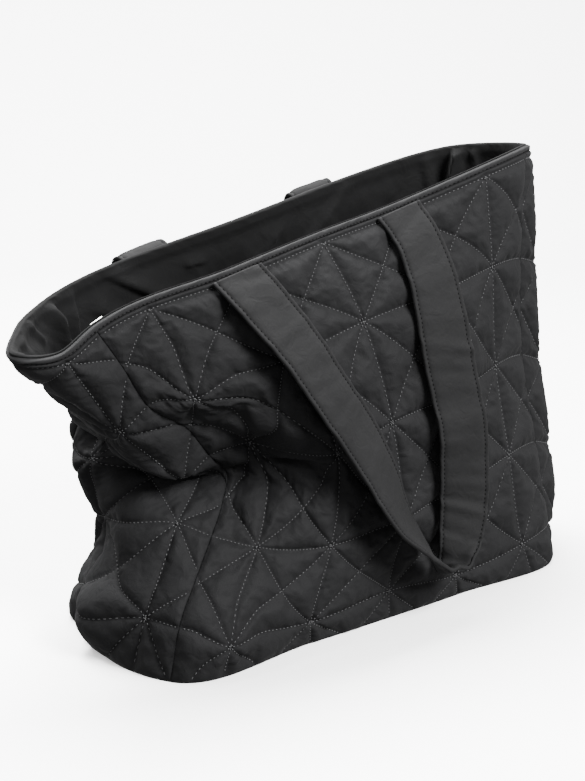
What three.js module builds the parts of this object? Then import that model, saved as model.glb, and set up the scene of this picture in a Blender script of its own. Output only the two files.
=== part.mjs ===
import * as THREE from "three";

// A soft quilted tote, slumped to its left with a deep fold across that side. Millimetres: +X runs right
// along the front, +Y to the back, +Z up, and the origin is the middle of the underside of the base.

// Driving sizes.
const WIDTH = 420; // cloth width of the front and of the back, seam to seam
const DEPTH = 160; // cloth width of each gusset, seam to seam
const HEIGHT = 355; // cloth height of the walls, rim to base seam
const SQUARE = 80; // side of one quilted square
const RIM_MARGIN = 5; // cloth between the rim and the first row of the quilting
const FRONT_MARGIN = 45; // cloth between the front left seam and the first column on the front
const GUSSET_MARGIN = 32; // cloth between the front left seam and the first column on the left gusset
const PUFF = 4.5; // how far a quilted pad stands above its stitching
const PAD_WALL = 5; // padded cloth, away from its edges
const EDGE_WALL = 2; // padded cloth, pressed flat at the rim and the seams
const LINING_WALL = 1.5;
const LINING_SLACK = 0.6; // more room between the lining and the walls than a clearance
const BASE_WALL = 6;
const FOOT_SLACK = 1.5; // room between the base, the foot of the lining and the walls
const CLEARANCE = 0.3; // between pieces that touch
const BINDING_HEIGHT = 4.5;
const BINDING_LIP = 0.6; // how far the rim binding stands past the cloth on each side
const STRAP_WIDTH = 44;
const STRAP_WALL = 3;
const ZIP_WIDTH = 14;
const ZIP_WALL = 1.2;
const ZIP_DROP = 7; // from the rim to the zip tape's upper edge
const SLIDER_ALONG = 4; // the slider's middle, along the rim from the front left seam
const SLIDER_LENGTH = 11;
const SLIDER_HEIGHT = 9;
const SLIDER_WALL = 4;
const PULLER_LENGTH = 17;
const PULLER_WIDTH = 5;
const PULLER_WALL = 1.2;

// Mesh steps, as parts of one quilted square.
const SQUARE_STEPS = 4;
const STRAP_STEPS = 44;
const BINDING_SIDES = 6;

// Where the four seams lie, as lengths of cloth round the walls from the front left seam, seen from outside.
const FRONT_RIGHT = WIDTH;
const BACK_RIGHT = WIDTH + DEPTH;
const BACK_LEFT = WIDTH + DEPTH + WIDTH;
const ROUND = WIDTH + DEPTH + WIDTH + DEPTH;

const black = (roughness) => new THREE.MeshStandardMaterial({ color: 0x2b2b2c, roughness, metalness: 0 });
const quiltCloth = black(0.62);
const liningCloth = black(0.8);
const strapCloth = black(0.7);
const pullerCord = black(0.85);
const bindingCloth = new THREE.MeshStandardMaterial({ color: 0x3a3a3b, roughness: 0.6, metalness: 0 });
const steel = new THREE.MeshStandardMaterial({ color: 0xc9c9c6, roughness: 0.3, metalness: 1 });

// One row of an upright section: the cloth length down from the rim as a share of HEIGHT, then the place,
// with x as a share of WIDTH, y as a share of DEPTH and z as a share of HEIGHT.
const row = (down, x, y, z) => ({ down, x, y, z });

// The upright sections in order round the walls. share is how far along its panel each one stands.
const SECTIONS = [
  {
    name: "front left seam", start: 0, length: WIDTH, share: 0,
    rows: [
      row(0.0, -0.552, -0.28, 0.744), row(0.13, -0.51, -0.305, 0.665), row(0.24, -0.464, -0.31, 0.577),
      row(0.35, -0.381, -0.28, 0.51), row(0.46, -0.319, -0.225, 0.43), row(0.53, -0.264, -0.165, 0.367),
      row(0.6, -0.3, -0.26, 0.32), row(0.69, -0.35, -0.36, 0.273), row(0.8, -0.41, -0.45, 0.203),
      row(0.92, -0.462, -0.512, 0.118), row(1.0, -0.474, -0.481, 0),
    ],
  },
  {
    name: "front under the left handle end", start: 0, length: WIDTH, share: 0.298,
    rows: [
      row(0.0, -0.29, -0.375, 0.831), row(0.24, -0.226, -0.5, 0.645), row(0.36, -0.174, -0.575, 0.54),
      row(0.46, -0.121, -0.55, 0.428), row(0.57, -0.126, -0.575, 0.318), row(0.69, -0.143, -0.58, 0.223),
      row(0.92, -0.19, -0.58, 0.056), row(1.0, -0.181, -0.545, 0),
    ],
  },
  {
    name: "front middle", start: 0, length: WIDTH, share: 0.488,
    rows: [
      row(0.0, -0.112, -0.388, 0.879), row(0.24, -0.055, -0.525, 0.699), row(0.46, -0.005, -0.588, 0.476),
      row(0.69, 0.021, -0.6, 0.248), row(0.92, 0.002, -0.569, 0.068), row(1.0, 0.01, -0.55, 0),
    ],
  },
  {
    name: "front under the right handle end", start: 0, length: WIDTH, share: 0.679,
    rows: [
      row(0.0, 0.062, -0.388, 0.918), row(0.24, 0.126, -0.513, 0.732), row(0.46, 0.148, -0.569, 0.502),
      row(0.69, 0.174, -0.581, 0.276), row(0.92, 0.176, -0.569, 0.054), row(1.0, 0.19, -0.544, 0),
    ],
  },
  {
    name: "front right seam", start: 0, length: WIDTH, share: 1,
    rows: [
      row(0.0, 0.398, -0.375, 1.008), row(0.24, 0.39, -0.388, 0.763), row(0.46, 0.41, -0.375, 0.53),
      row(0.69, 0.445, -0.413, 0.304), row(0.92, 0.476, -0.456, 0.079), row(1.0, 0.483, -0.469, 0),
    ],
  },
  {
    name: "right gusset, front quarter", start: FRONT_RIGHT, length: DEPTH, share: 0.25,
    rows: [
      row(0.0, 0.471, -0.213, 1.0), row(0.24, 0.469, -0.288, 0.738), row(0.46, 0.5, -0.275, 0.496),
      row(0.69, 0.536, -0.281, 0.268), row(0.92, 0.529, -0.3, 0.062), row(1.0, 0.5, -0.269, 0),
    ],
  },
  {
    name: "right gusset middle", start: FRONT_RIGHT, length: DEPTH, share: 0.5,
    rows: [
      row(0.0, 0.495, 0, 0.992), row(0.24, 0.514, 0, 0.744), row(0.46, 0.543, 0.013, 0.513),
      row(0.69, 0.567, 0.013, 0.282), row(0.92, 0.543, 0, 0.073), row(1.0, 0.493, 0, 0),
    ],
  },
  {
    name: "back right seam", start: BACK_RIGHT, length: WIDTH, share: 0,
    rows: [
      row(0.0, 0.443, 0.313, 0.975), row(0.24, 0.452, 0.344, 0.738), row(0.46, 0.471, 0.375, 0.507),
      row(0.69, 0.481, 0.413, 0.282), row(0.92, 0.486, 0.463, 0.073), row(1.0, 0.476, 0.475, 0),
    ],
  },
  {
    name: "back middle", start: BACK_RIGHT, length: WIDTH, share: 0.5,
    rows: [
      row(0.0, -0.086, 0.363, 0.862), row(0.24, -0.038, 0.463, 0.67), row(0.46, 0, 0.538, 0.456),
      row(0.69, 0.019, 0.575, 0.248), row(0.92, 0.01, 0.563, 0.073), row(1.0, 0.005, 0.538, 0),
    ],
  },
  {
    name: "back left seam", start: BACK_LEFT, length: DEPTH, share: 0,
    rows: [
      row(0.0, -0.545, 0.281, 0.755), row(0.13, -0.507, 0.313, 0.654), row(0.24, -0.469, 0.338, 0.563),
      row(0.3, -0.405, 0.32, 0.527), row(0.4, -0.456, 0.382, 0.462), row(0.69, -0.438, 0.425, 0.239),
      row(0.92, -0.476, 0.475, 0.073), row(1.0, -0.471, 0.488, 0),
    ],
  },
  {
    name: "left gusset, back quarter", start: BACK_LEFT, length: DEPTH, share: 0.3,
    rows: [
      row(0.0, -0.634, 0.08, 0.738), row(0.13, -0.564, 0.17, 0.632), row(0.24, -0.51, 0.225, 0.546),
      row(0.31, -0.486, 0.238, 0.496), row(0.39, -0.41, 0.225, 0.451), row(0.46, -0.452, 0.25, 0.4),
      row(0.58, -0.452, 0.263, 0.318), row(0.8, -0.443, 0.25, 0.19), row(0.92, -0.505, 0.213, 0.105),
      row(1.0, -0.49, 0.213, 0),
    ],
  },
  {
    name: "left gusset middle", start: BACK_LEFT, length: DEPTH, share: 0.5,
    rows: [
      row(0.0, -0.688, -0.14, 0.704), row(0.13, -0.614, -0.025, 0.631), row(0.24, -0.543, 0, 0.563),
      row(0.35, -0.486, 0.019, 0.49), row(0.42, -0.452, 0.025, 0.445), row(0.5, -0.371, 0.038, 0.403),
      row(0.57, -0.405, 0.013, 0.372), row(0.69, -0.455, -0.025, 0.287), row(0.8, -0.479, -0.025, 0.197),
      row(0.92, -0.545, 0.013, 0.09), row(1.0, -0.507, 0.031, 0),
    ],
  },
  {
    name: "left gusset, front quarter", start: BACK_LEFT, length: DEPTH, share: 0.8,
    rows: [
      row(0.0, -0.614, -0.275, 0.7), row(0.13, -0.567, -0.269, 0.62), row(0.24, -0.505, -0.238, 0.524),
      row(0.35, -0.438, -0.225, 0.451), row(0.45, -0.376, -0.206, 0.389), row(0.53, -0.3, -0.075, 0.366),
      row(0.6, -0.329, -0.125, 0.335), row(0.69, -0.395, -0.25, 0.299), row(0.8, -0.448, -0.313, 0.211),
      row(0.92, -0.49, -0.338, 0.121), row(1.0, -0.505, -0.281, 0),
    ],
  },
];

// Smaller dents and swells. along and down are cloth lengths from the front left seam and the rim as shares
// of WIDTH and HEIGHT, the two reaches are their half sizes, and x, y and z are the push, as shares of SQUARE.
const dent = (along, down, alongReach, downReach, x, y, z) => ({ along, down, alongReach, downReach, x, y, z });
const DENTS = [
  dent(0.107, 0.465, 0.07, 0.06, 0.05, 0.14, 0), // pinch where the left squares meet
  dent(0.2, 0.475, 0.13, 0.035, 0, 0.12, 0.04), // crease under the overhanging pads
  dent(0.19, 0.4, 0.16, 0.055, 0, -0.1, -0.03), // the overhang above it
  dent(0.04, 0.6, 0.035, 0.12, 0.02, 0.08, 0), // valley down from the pushed in seam
  dent(0.107, 0.24, 0.1, 0.12, 0, 0, -0.14), // sag of the rim's left end
  dent(0.107, 0.915, 0.09, 0.09, 0, -0.04, -0.12), // the foot's left corner sinks
  dent(0.49, 0.7, 0.1, 0.12, 0, -0.06, 0), // swells of the filled front
  dent(0.7, 0.35, 0.16, 0.16, 0, -0.06, 0),
];

// A smooth curve through keyed points, and its value at a key. A closed curve repeats after period.
function hermite(keys, points, key, period = 0) {
  const count = keys.length;
  const keyAt = (i) => keys[(i + count) % count] + (period ? Math.floor(i / count) * period : 0);
  const pointAt = (i) => points[(i + count) % count];
  let i = 0;
  while (i < count - (period ? 1 : 2) && key > keyAt(i + 1)) i += 1;
  const slope = (k) => {
    if (!period && (k === 0 || k === count - 1)) {
      const j = k === 0 ? 0 : count - 2;
      return pointAt(j + 1).clone().sub(pointAt(j)).divideScalar(keyAt(j + 1) - keyAt(j));
    }
    const before = keyAt(k) - keyAt(k - 1);
    const after = keyAt(k + 1) - keyAt(k);
    const into = pointAt(k).clone().sub(pointAt(k - 1)).multiplyScalar(after / before);
    const out = pointAt(k + 1).clone().sub(pointAt(k)).multiplyScalar(before / after);
    return into.add(out).divideScalar(before + after);
  };
  const step = keyAt(i + 1) - keyAt(i);
  const t = (key - keyAt(i)) / step;
  const t2 = t * t;
  const t3 = t2 * t;
  return pointAt(i).clone().multiplyScalar(2 * t3 - 3 * t2 + 1)
    .addScaledVector(slope(i), (t3 - 2 * t2 + t) * step)
    .addScaledVector(pointAt(i + 1), 3 * t2 - 2 * t3)
    .addScaledVector(slope(i + 1), (t3 - t2) * step);
}

const smooth = (value) => {
  const t = THREE.MathUtils.clamp(value, 0, 1);
  return t * t * (3 - 2 * t);
};

const sectionKeys = SECTIONS.map((section) => section.start + section.share * section.length);
const sectionRows = SECTIONS.map((section) => ({
  downs: section.rows.map((r) => r.down * HEIGHT),
  places: section.rows.map((r) => new THREE.Vector3(r.x * WIDTH, r.y * DEPTH, r.z * HEIGHT)),
}));

// The place on the walls' stitched surface at a cloth length round from the front left seam and down.
function wallPoint(around, down) {
  const s = THREE.MathUtils.euclideanModulo(around, ROUND);
  const t = THREE.MathUtils.clamp(down, 0, HEIGHT);
  const column = sectionRows.map(({ downs, places }) => hermite(downs, places, t));
  const point = hermite(sectionKeys, column, s, ROUND);
  for (const d of DENTS) {
    let across = s / WIDTH - d.along;
    if (across > 1) across -= ROUND / WIDTH;
    const far = Math.hypot(across / d.alongReach, (t / HEIGHT - d.down) / d.downReach);
    const amount = 1 - smooth(far);
    point.add(new THREE.Vector3(d.x, d.y, d.z).multiplyScalar(amount * SQUARE));
  }
  point.z = Math.max(point.z, 0);
  return point;
}

// The outward direction of the walls there.
function wallNormal(around, down) {
  const reach = SQUARE / 10;
  const low = Math.min(down + reach, HEIGHT - 0.01);
  const high = Math.max(down - reach, 0.01);
  const along = wallPoint(around + reach, down).sub(wallPoint(around - reach, down));
  const drop = wallPoint(around, low).sub(wallPoint(around, high));
  return drop.cross(along).normalize();
}

// The first column of the quilting at or past the front left seam, and its panel's two seams.
function panelAt(around) {
  const s = THREE.MathUtils.euclideanModulo(around, ROUND);
  if (s <= FRONT_RIGHT) return { from: 0, to: FRONT_RIGHT, column: FRONT_MARGIN };
  if (s < BACK_RIGHT) return { from: FRONT_RIGHT, to: BACK_RIGHT, column: FRONT_RIGHT + SQUARE / 2 };
  if (s <= BACK_LEFT) return { from: BACK_RIGHT, to: BACK_LEFT, column: BACK_LEFT - FRONT_MARGIN };
  return { from: BACK_LEFT, to: ROUND, column: ROUND - GUSSET_MARGIN };
}

// How far the pads stand up there: nothing on the sides and diagonals of the squares and on the seams.
function padHeight(around, down) {
  const s = THREE.MathUtils.euclideanModulo(around, ROUND);
  const panel = panelAt(s);
  const a = THREE.MathUtils.euclideanModulo(s - panel.column, SQUARE);
  const b = THREE.MathUtils.euclideanModulo(down - RIM_MARGIN, SQUARE);
  const toSides = Math.min(a, SQUARE - a, b, SQUARE - b);
  const toDiagonals = Math.min(Math.abs(a - b), Math.abs(a + b - SQUARE)) / Math.SQRT2;
  const toSeams = Math.min(s - panel.from, panel.to - s, down, HEIGHT - down);
  const near = Math.min(toSides, toDiagonals, Math.max(toSeams, 0) / 2);
  const crown = SQUARE * (Math.SQRT2 - 1) / 2;
  return PUFF * Math.sqrt(smooth(near / crown));
}

// The padded cloth's thickness there: pressed flat at the rim and the seams.
function padWall(around, down) {
  const s = THREE.MathUtils.euclideanModulo(around, ROUND);
  const panel = panelAt(s);
  const toEdge = Math.min(s - panel.from, panel.to - s, down);
  return EDGE_WALL + (PAD_WALL - EDGE_WALL) * smooth(toEdge / (SQUARE / 3));
}

// A place at a depth under the stitched surface, and one on the pads.
const under = (around, down, depth) => {
  const point = wallPoint(around, down).addScaledVector(wallNormal(around, down), -depth);
  if (down >= HEIGHT) point.z = 0;
  return point;
};
const onPads = (around, down) => under(around, down, -padHeight(around, down));

// Grid lines from one seam to the next that fall on the quilting.
function gridLines(from, to, through) {
  const step = SQUARE / SQUARE_STEPS;
  const lines = [from];
  const first = through - Math.ceil((through - from) / step) * step;
  for (let line = first; line < to; line += step) {
    if (line > from + step * 0.45 && line < to - step * 0.45) lines.push(line);
  }
  lines.push(to);
  return lines;
}
const downLines = gridLines(0, HEIGHT, RIM_MARGIN + SQUARE);

function meshOf(name, triangles, material) {
  const geometry = new THREE.BufferGeometry();
  const places = new Float32Array(triangles.length * 3);
  triangles.forEach((corner, i) => corner.toArray(places, i * 3));
  geometry.setAttribute("position", new THREE.BufferAttribute(places, 3));
  geometry.computeVertexNormals();
  const mesh = new THREE.Mesh(geometry, material);
  mesh.name = name;
  return mesh;
}

// Triangles of one four sided cell, cut on its rising or falling diagonal, or round a middle of its own.
function cell(out, a, b, c, d, rising = false, middle = null) {
  if (middle) out.push(a, middle, b, b, middle, c, c, middle, d, d, middle, a);
  else if (rising) out.push(a, d, b, b, d, c);
  else out.push(a, d, c, a, c, b);
}

// Faces of a grid of places, rows going down and columns going right, seen from outside.
function gridFaces(out, grid, { flip = false, rising = () => false, middle = () => null } = {}) {
  for (let i = 0; i + 1 < grid.length; i += 1) {
    for (let j = 0; j + 1 < grid[i].length; j += 1) {
      const [a, b, c, d] = [grid[i][j], grid[i][j + 1], grid[i + 1][j + 1], grid[i + 1][j]];
      if (flip) cell(out, b, a, d, c, !rising(i, j), middle(i, j));
      else cell(out, a, b, c, d, rising(i, j), middle(i, j));
    }
  }
}

// Where a cell of the grid of lines lies in its quilted square, counted in steps from the square's corner.
function cellAt(lines, i, j) {
  const around = (lines[j] + lines[j + 1]) / 2;
  const down = (downLines[i] + downLines[i + 1]) / 2;
  const step = SQUARE / SQUARE_STEPS;
  const place = (length) => Math.floor(THREE.MathUtils.euclideanModulo(length, SQUARE) / step);
  return { around, down, a: place(around - panelAt(around).column), b: place(down - RIM_MARGIN) };
}

// Whether a cell is cut on its rising diagonal, as the quilting there is.
const risingAt = (lines) => (i, j) => {
  const { a, b } = cellAt(lines, i, j);
  return (a + b) % 2 !== 0;
};

// The crown of a cell that no diagonal of the quilting crosses.
const crownAt = (lines) => (i, j) => {
  const { a, b, around, down } = cellAt(lines, i, j);
  return a === b || a + b === SQUARE_STEPS - 1 ? null : onPads(around, down);
};

// A closed shell between an outer and an inner grid of places.
function shellFaces(outer, inner, rising, middle) {
  const faces = [];
  gridFaces(faces, outer, { rising, middle });
  gridFaces(faces, inner, { flip: true, rising });
  const last = outer.length - 1;
  const column = (grid, j) => grid.map((r) => r.at(j));
  gridFaces(faces, [inner[0], outer[0]]);
  gridFaces(faces, [outer[last], inner[last]]);
  gridFaces(faces, [column(inner, 0), column(outer, 0)], { flip: true });
  gridFaces(faces, [column(outer, -1), column(inner, -1)], { flip: true });
  return faces;
}

// One quilted panel between two seams. Its ends lean as the seams do, a clearance short of them.
function quiltedPanel(name, from, to) {
  const lines = gridLines(from, to, panelAt((from + to) / 2).column);
  const grid = (place) => downLines.map((down) => lines.map((around) => {
    const point = place(around, down);
    const along = wallPoint(around + CLEARANCE, down).sub(wallPoint(around - CLEARANCE, down)).normalize();
    if (around === from) point.addScaledVector(along, CLEARANCE);
    if (around === to) point.addScaledVector(along, -CLEARANCE);
    if (down === HEIGHT) point.z = 0;
    return point;
  }));
  const outer = grid(onPads);
  const inner = grid((around, down) => under(around, down, padWall(around, down)));
  return meshOf(name, shellFaces(outer, inner, risingAt(lines), crownAt(lines)), quiltCloth);
}

const roundLines = [
  [0, FRONT_RIGHT], [FRONT_RIGHT, BACK_RIGHT], [BACK_RIGHT, BACK_LEFT], [BACK_LEFT, ROUND],
].flatMap(([from, to]) => gridLines(from, to, panelAt((from + to) / 2).column).slice(0, -1));

// The outline inside the walls' foot at a height above the floor, a depth within their inner face.
function footOutline(depth, height) {
  const above = downLines.at(-2);
  return roundLines.map((around) => {
    const low = under(around, HEIGHT, padWall(around, HEIGHT) + depth);
    const high = under(around, above, padWall(around, above) + depth);
    return low.lerp(high, height / high.z).setZ(height);
  });
}

const middleOf = (outline) => outline.reduce((sum, p) => sum.add(p), new THREE.Vector3())
  .divideScalar(outline.length);

// A flat face over an outline, facing up or down.
function flatFace(out, outline, upward) {
  const middle = middleOf(outline);
  outline.forEach((place, i) => {
    const next = outline[(i + 1) % outline.length];
    if (upward) out.push(middle, place, next);
    else out.push(middle, next, place);
  });
}

const closed = (list) => [...list, list[0]];

// The base: a flat padded slab inside the foot of the walls.
function basePanel() {
  const top = footOutline(FOOT_SLACK, BASE_WALL);
  const bottom = footOutline(FOOT_SLACK, 0);
  const faces = [];
  flatFace(faces, top, true);
  flatFace(faces, bottom, false);
  gridFaces(faces, [closed(top), closed(bottom)]);
  return meshOf("bottom_panel", faces, quiltCloth);
}

// The lining: a thin bag inside the walls and on the base.
function lining() {
  const bag = (depth, floor) => {
    const sides = downLines.slice(0, -1).map((down) =>
      closed(roundLines.map((around) => under(around, down, padWall(around, down) + depth))));
    return { sides, foot: footOutline(depth + FOOT_SLACK, floor) };
  };
  const floor = BASE_WALL + CLEARANCE;
  const gap = CLEARANCE + LINING_SLACK;
  const outer = bag(gap, floor);
  const inner = bag(gap + LINING_WALL, floor + LINING_WALL);
  const rising = risingAt([...roundLines, ROUND]);
  const faces = [];
  gridFaces(faces, [...outer.sides, closed(outer.foot)], { rising });
  gridFaces(faces, [...inner.sides, closed(inner.foot)], { flip: true, rising });
  gridFaces(faces, [inner.sides[0], outer.sides[0]]);
  flatFace(faces, outer.foot, false);
  flatFace(faces, inner.foot, true);
  return meshOf("lining", faces, liningCloth);
}

// The rolled binding on the rim: a closed ring with a rounded section.
function rimBinding() {
  const cloth = EDGE_WALL + CLEARANCE + LINING_SLACK + LINING_WALL;
  const rings = roundLines.map((around) => {
    const out = wallNormal(around, 0);
    const drop = wallPoint(around, SQUARE / 16).sub(wallPoint(around, 0)).normalize();
    const middle = under(around, 0, cloth / 2).addScaledVector(drop, -(CLEARANCE + BINDING_HEIGHT / 2));
    return Array.from({ length: BINDING_SIDES }, (_, k) => {
      const turn = ((k + 0.5) / BINDING_SIDES) * Math.PI * 2;
      return middle.clone()
        .addScaledVector(out, (Math.cos(turn) * (cloth / 2 + BINDING_LIP)) / Math.cos(Math.PI / BINDING_SIDES))
        .addScaledVector(drop, (Math.sin(turn) * BINDING_HEIGHT) / 2);
    });
  });
  const grid = Array.from({ length: BINDING_SIDES + 1 }, (_, k) =>
    [...rings, rings[0]].map((ring) => ring[k % BINDING_SIDES]));
  const faces = [];
  gridFaces(faces, grid);
  return meshOf("rim_binding", faces, bindingCloth);
}

// A handle's run. x, y and z are the place of the edge on the outside of its loop, as shares of WIDTH, DEPTH
// and HEIGHT with y counted outwards from the pads, and the rest leads across to its other edge, as shares of
// STRAP_WIDTH. The cloth is gathered narrower round the bottom of the loop.
const strapRow = (x, y, z, acrossX, acrossY, acrossZ) => ({ x, y, z, acrossX, acrossY, acrossZ });
const FRONT_RUN = [
  strapRow(-0.348, 0.358, 0.817, 0.97, 0.03, 0.23), // left end, under the rim
  strapRow(-0.319, 0.466, 0.758, 0.92, -0.14, 0.36),
  strapRow(-0.262, 0.597, 0.654, 0.84, -0.29, 0.46),
  strapRow(-0.205, 0.672, 0.541, 0.79, -0.33, 0.51),
  strapRow(-0.148, 0.7, 0.437, 0.72, -0.34, 0.6),
  strapRow(-0.11, 0.738, 0.358, 0.7, -0.41, 0.58),
  strapRow(-0.083, 0.772, 0.299, 0.74, -0.53, 0.42),
  strapRow(-0.04, 0.791, 0.237, 0.62, -0.6, 0.15),
  strapRow(0.026, 0.803, 0.175, 0.42, -0.62, -0.12),
  strapRow(0.083, 0.797, 0.138, 0.04, -0.59, -0.2), // bottom of the loop
  strapRow(0.129, 0.778, 0.135, -0.36, -0.52, -0.16),
  strapRow(0.16, 0.753, 0.158, -0.64, -0.42, -0.15),
  strapRow(0.186, 0.722, 0.208, -0.87, -0.32, 0),
  strapRow(0.2, 0.691, 0.282, -0.97, -0.22, 0.04),
  strapRow(0.19, 0.672, 0.434, -0.99, -0.12, 0.08),
  strapRow(0.162, 0.634, 0.608, -0.99, -0.14, 0),
  strapRow(0.15, 0.559, 0.761, -0.99, -0.09, -0.02),
  strapRow(0.136, 0.472, 0.862, -0.98, -0.06, -0.1),
  strapRow(0.112, 0.38, 0.935, -0.96, 0, -0.24), // right end
];
const BACK_RUN = [
  strapRow(-0.343, 0.41, 0.783, 0.97, 0, 0.23), // left end, on the cloth under the rim
  strapRow(-0.343, 0.425, 0.81, 0.97, 0, 0.23),
  strapRow(-0.34, 0.466, 0.82, 0.97, 0, 0.23), // arch over the rim
  strapRow(-0.336, 0.509, 0.796, 0.97, 0, 0.25),
  strapRow(-0.314, 0.553, 0.704, 0.95, -0.05, 0.31),
  strapRow(-0.25, 0.631, 0.535, 0.87, -0.16, 0.45),
  strapRow(-0.167, 0.7, 0.366, 0.75, -0.32, 0.55),
  strapRow(-0.095, 0.747, 0.239, 0.76, -0.42, 0.45),
  strapRow(-0.012, 0.784, 0.161, 0.58, -0.52, 0.1),
  strapRow(0.071, 0.784, 0.132, 0.02, -0.53, -0.25), // bottom of the loop
  strapRow(0.148, 0.753, 0.175, -0.62, -0.42, -0.1),
  strapRow(0.186, 0.709, 0.31, -0.97, -0.22, 0),
  strapRow(0.186, 0.672, 0.493, -0.99, -0.1, 0.05),
  strapRow(0.179, 0.622, 0.69, -0.99, -0.03, -0.02),
  strapRow(0.169, 0.566, 0.834, -0.98, 0, -0.15),
  strapRow(0.16, 0.522, 0.896, -0.97, 0, -0.22),
  strapRow(0.152, 0.478, 0.924, -0.97, 0, -0.23), // arch over the rim
  strapRow(0.148, 0.438, 0.918, -0.97, 0, -0.23),
  strapRow(0.148, 0.396, 0.89, -0.97, 0, -0.23), // right end
];

// One handle: a flat strap swept along its run, on the side of the bag where out is 1 for back, -1 for front.
function handle(name, run, out) {
  const keys = run.map((_, i) => i / (run.length - 1));
  const edge = run.map((r) => new THREE.Vector3(r.x * WIDTH, out * (r.y * DEPTH + PUFF), r.z * HEIGHT));
  const across = run.map((r) => new THREE.Vector3(r.acrossX, out * r.acrossY, r.acrossZ));
  const stations = Array.from({ length: STRAP_STEPS + 1 }, (_, i) => ({
    from: hermite(keys, edge, i / STRAP_STEPS),
    across: hermite(keys, across, i / STRAP_STEPS),
  }));
  const rings = stations.map((station, i) => {
    const before = stations[Math.max(i - 1, 0)].from;
    const after = stations[Math.min(i + 1, STRAP_STEPS)].from;
    const forward = after.clone().sub(before).normalize();
    const face = forward.cross(station.across).normalize().multiplyScalar(-out);
    const at = (share, side) => station.from.clone().addScaledVector(station.across, share * STRAP_WIDTH)
      .addScaledVector(face, (side * STRAP_WALL) / 2);
    return [at(0, 1), at(1, 1), at(1, -1), at(0, -1)];
  });
  const faces = [];
  const flip = out > 0;
  gridFaces(faces, rings.map(closed), { flip, rising: (_, j) => j > 1 });
  const cap = ([a, b, c, d], turned) => (turned ? faces.push(a, b, c, a, c, d) : faces.push(a, c, b, a, d, c));
  cap(rings[0], !flip);
  cap(rings.at(-1), flip);
  return meshOf(name, faces, strapCloth);
}

// The lining's inner face between the rim and the first grid line below it, and further in by a gap.
function facing(around, down, gap) {
  const below = downLines[1];
  const depth = (at) => padWall(around, at) + CLEARANCE + LINING_SLACK + LINING_WALL + gap;
  return under(around, 0, depth(0)).lerp(under(around, below, depth(below)), down / below);
}

// The zip's tape, sewn along the front of the lining under the rim.
function zipTape() {
  const lines = gridLines(0, FRONT_RIGHT, FRONT_MARGIN);
  const grid = (gap) => [ZIP_DROP, ZIP_DROP + ZIP_WIDTH].map((down) => lines.slice(1, -2)
    .map((around) => facing(around, down, gap)));
  const faces = shellFaces(grid(2 * CLEARANCE), grid(2 * CLEARANCE + ZIP_WALL), () => false, () => null);
  return meshOf("zip_tape", faces, pullerCord);
}

// A small block on the inside of the rim: its middle, and its length along the rim, height and depth.
function rimBlock(name, around, rise, inset, [length, height, depth], material) {
  const out = wallNormal(around, 0);
  const along = wallPoint(around + SQUARE / 10, 0).sub(wallPoint(around - SQUARE / 10, 0)).normalize();
  const upward = out.clone().cross(along).normalize();
  const mesh = new THREE.Mesh(new THREE.BoxGeometry(length, height, depth), material);
  mesh.name = name;
  mesh.setRotationFromMatrix(new THREE.Matrix4().makeBasis(along, upward, out));
  mesh.position.copy(under(around, 0, inset + depth / 2)).addScaledVector(upward, rise);
  return mesh;
}

const bindingInset = EDGE_WALL + CLEARANCE + LINING_SLACK + LINING_WALL + BINDING_LIP;
const zipSlider = () => rimBlock(
  "zip_slider", SLIDER_ALONG, BINDING_HEIGHT / 2, bindingInset + CLEARANCE,
  [SLIDER_LENGTH, SLIDER_HEIGHT, SLIDER_WALL], steel,
);
const zipPuller = () => rimBlock(
  "zip_puller", SLIDER_ALONG - SLIDER_LENGTH / 2 - CLEARANCE * 3 - PULLER_LENGTH / 2, BINDING_HEIGHT / 2,
  bindingInset + SLIDER_WALL / 2, [PULLER_LENGTH, PULLER_WIDTH, PULLER_WALL], pullerCord,
);

const tote = new THREE.Group();
tote.add(
  quiltedPanel("front_panel", 0, FRONT_RIGHT),
  quiltedPanel("right_gusset", FRONT_RIGHT, BACK_RIGHT),
  quiltedPanel("back_panel", BACK_RIGHT, BACK_LEFT),
  quiltedPanel("left_gusset", BACK_LEFT, ROUND),
  basePanel(),
  lining(),
  rimBinding(),
  handle("front_handle", FRONT_RUN, -1),
  handle("back_handle", BACK_RUN, 1),
  zipTape(),
  zipSlider(),
  zipPuller(),
);

export default tote;
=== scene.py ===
"""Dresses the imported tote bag: quilted nylon walls with their stitching, webbing handles, a bound rim, a
creased lining and the end of a zip, standing slumped on a pale floor in soft studio light."""

import logging
import math
from dataclasses import dataclass
from enum import Enum

import bmesh
import bpy
import numpy as np
from mathutils import Matrix, Vector


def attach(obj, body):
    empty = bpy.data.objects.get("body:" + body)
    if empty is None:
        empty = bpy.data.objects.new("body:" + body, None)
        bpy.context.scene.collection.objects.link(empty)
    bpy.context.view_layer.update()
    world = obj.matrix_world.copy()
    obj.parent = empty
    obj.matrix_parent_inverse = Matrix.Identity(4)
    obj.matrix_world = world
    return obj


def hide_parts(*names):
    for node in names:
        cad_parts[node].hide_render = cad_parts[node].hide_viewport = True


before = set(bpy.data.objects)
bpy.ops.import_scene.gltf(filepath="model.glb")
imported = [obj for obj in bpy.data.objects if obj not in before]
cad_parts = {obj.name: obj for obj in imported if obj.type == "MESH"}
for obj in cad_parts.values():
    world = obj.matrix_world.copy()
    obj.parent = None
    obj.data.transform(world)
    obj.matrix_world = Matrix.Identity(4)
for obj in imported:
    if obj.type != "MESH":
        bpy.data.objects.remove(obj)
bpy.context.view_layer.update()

log = logging.getLogger("tote")
BODY = "root"
MM = 0.001


# Cloth sizes

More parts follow.
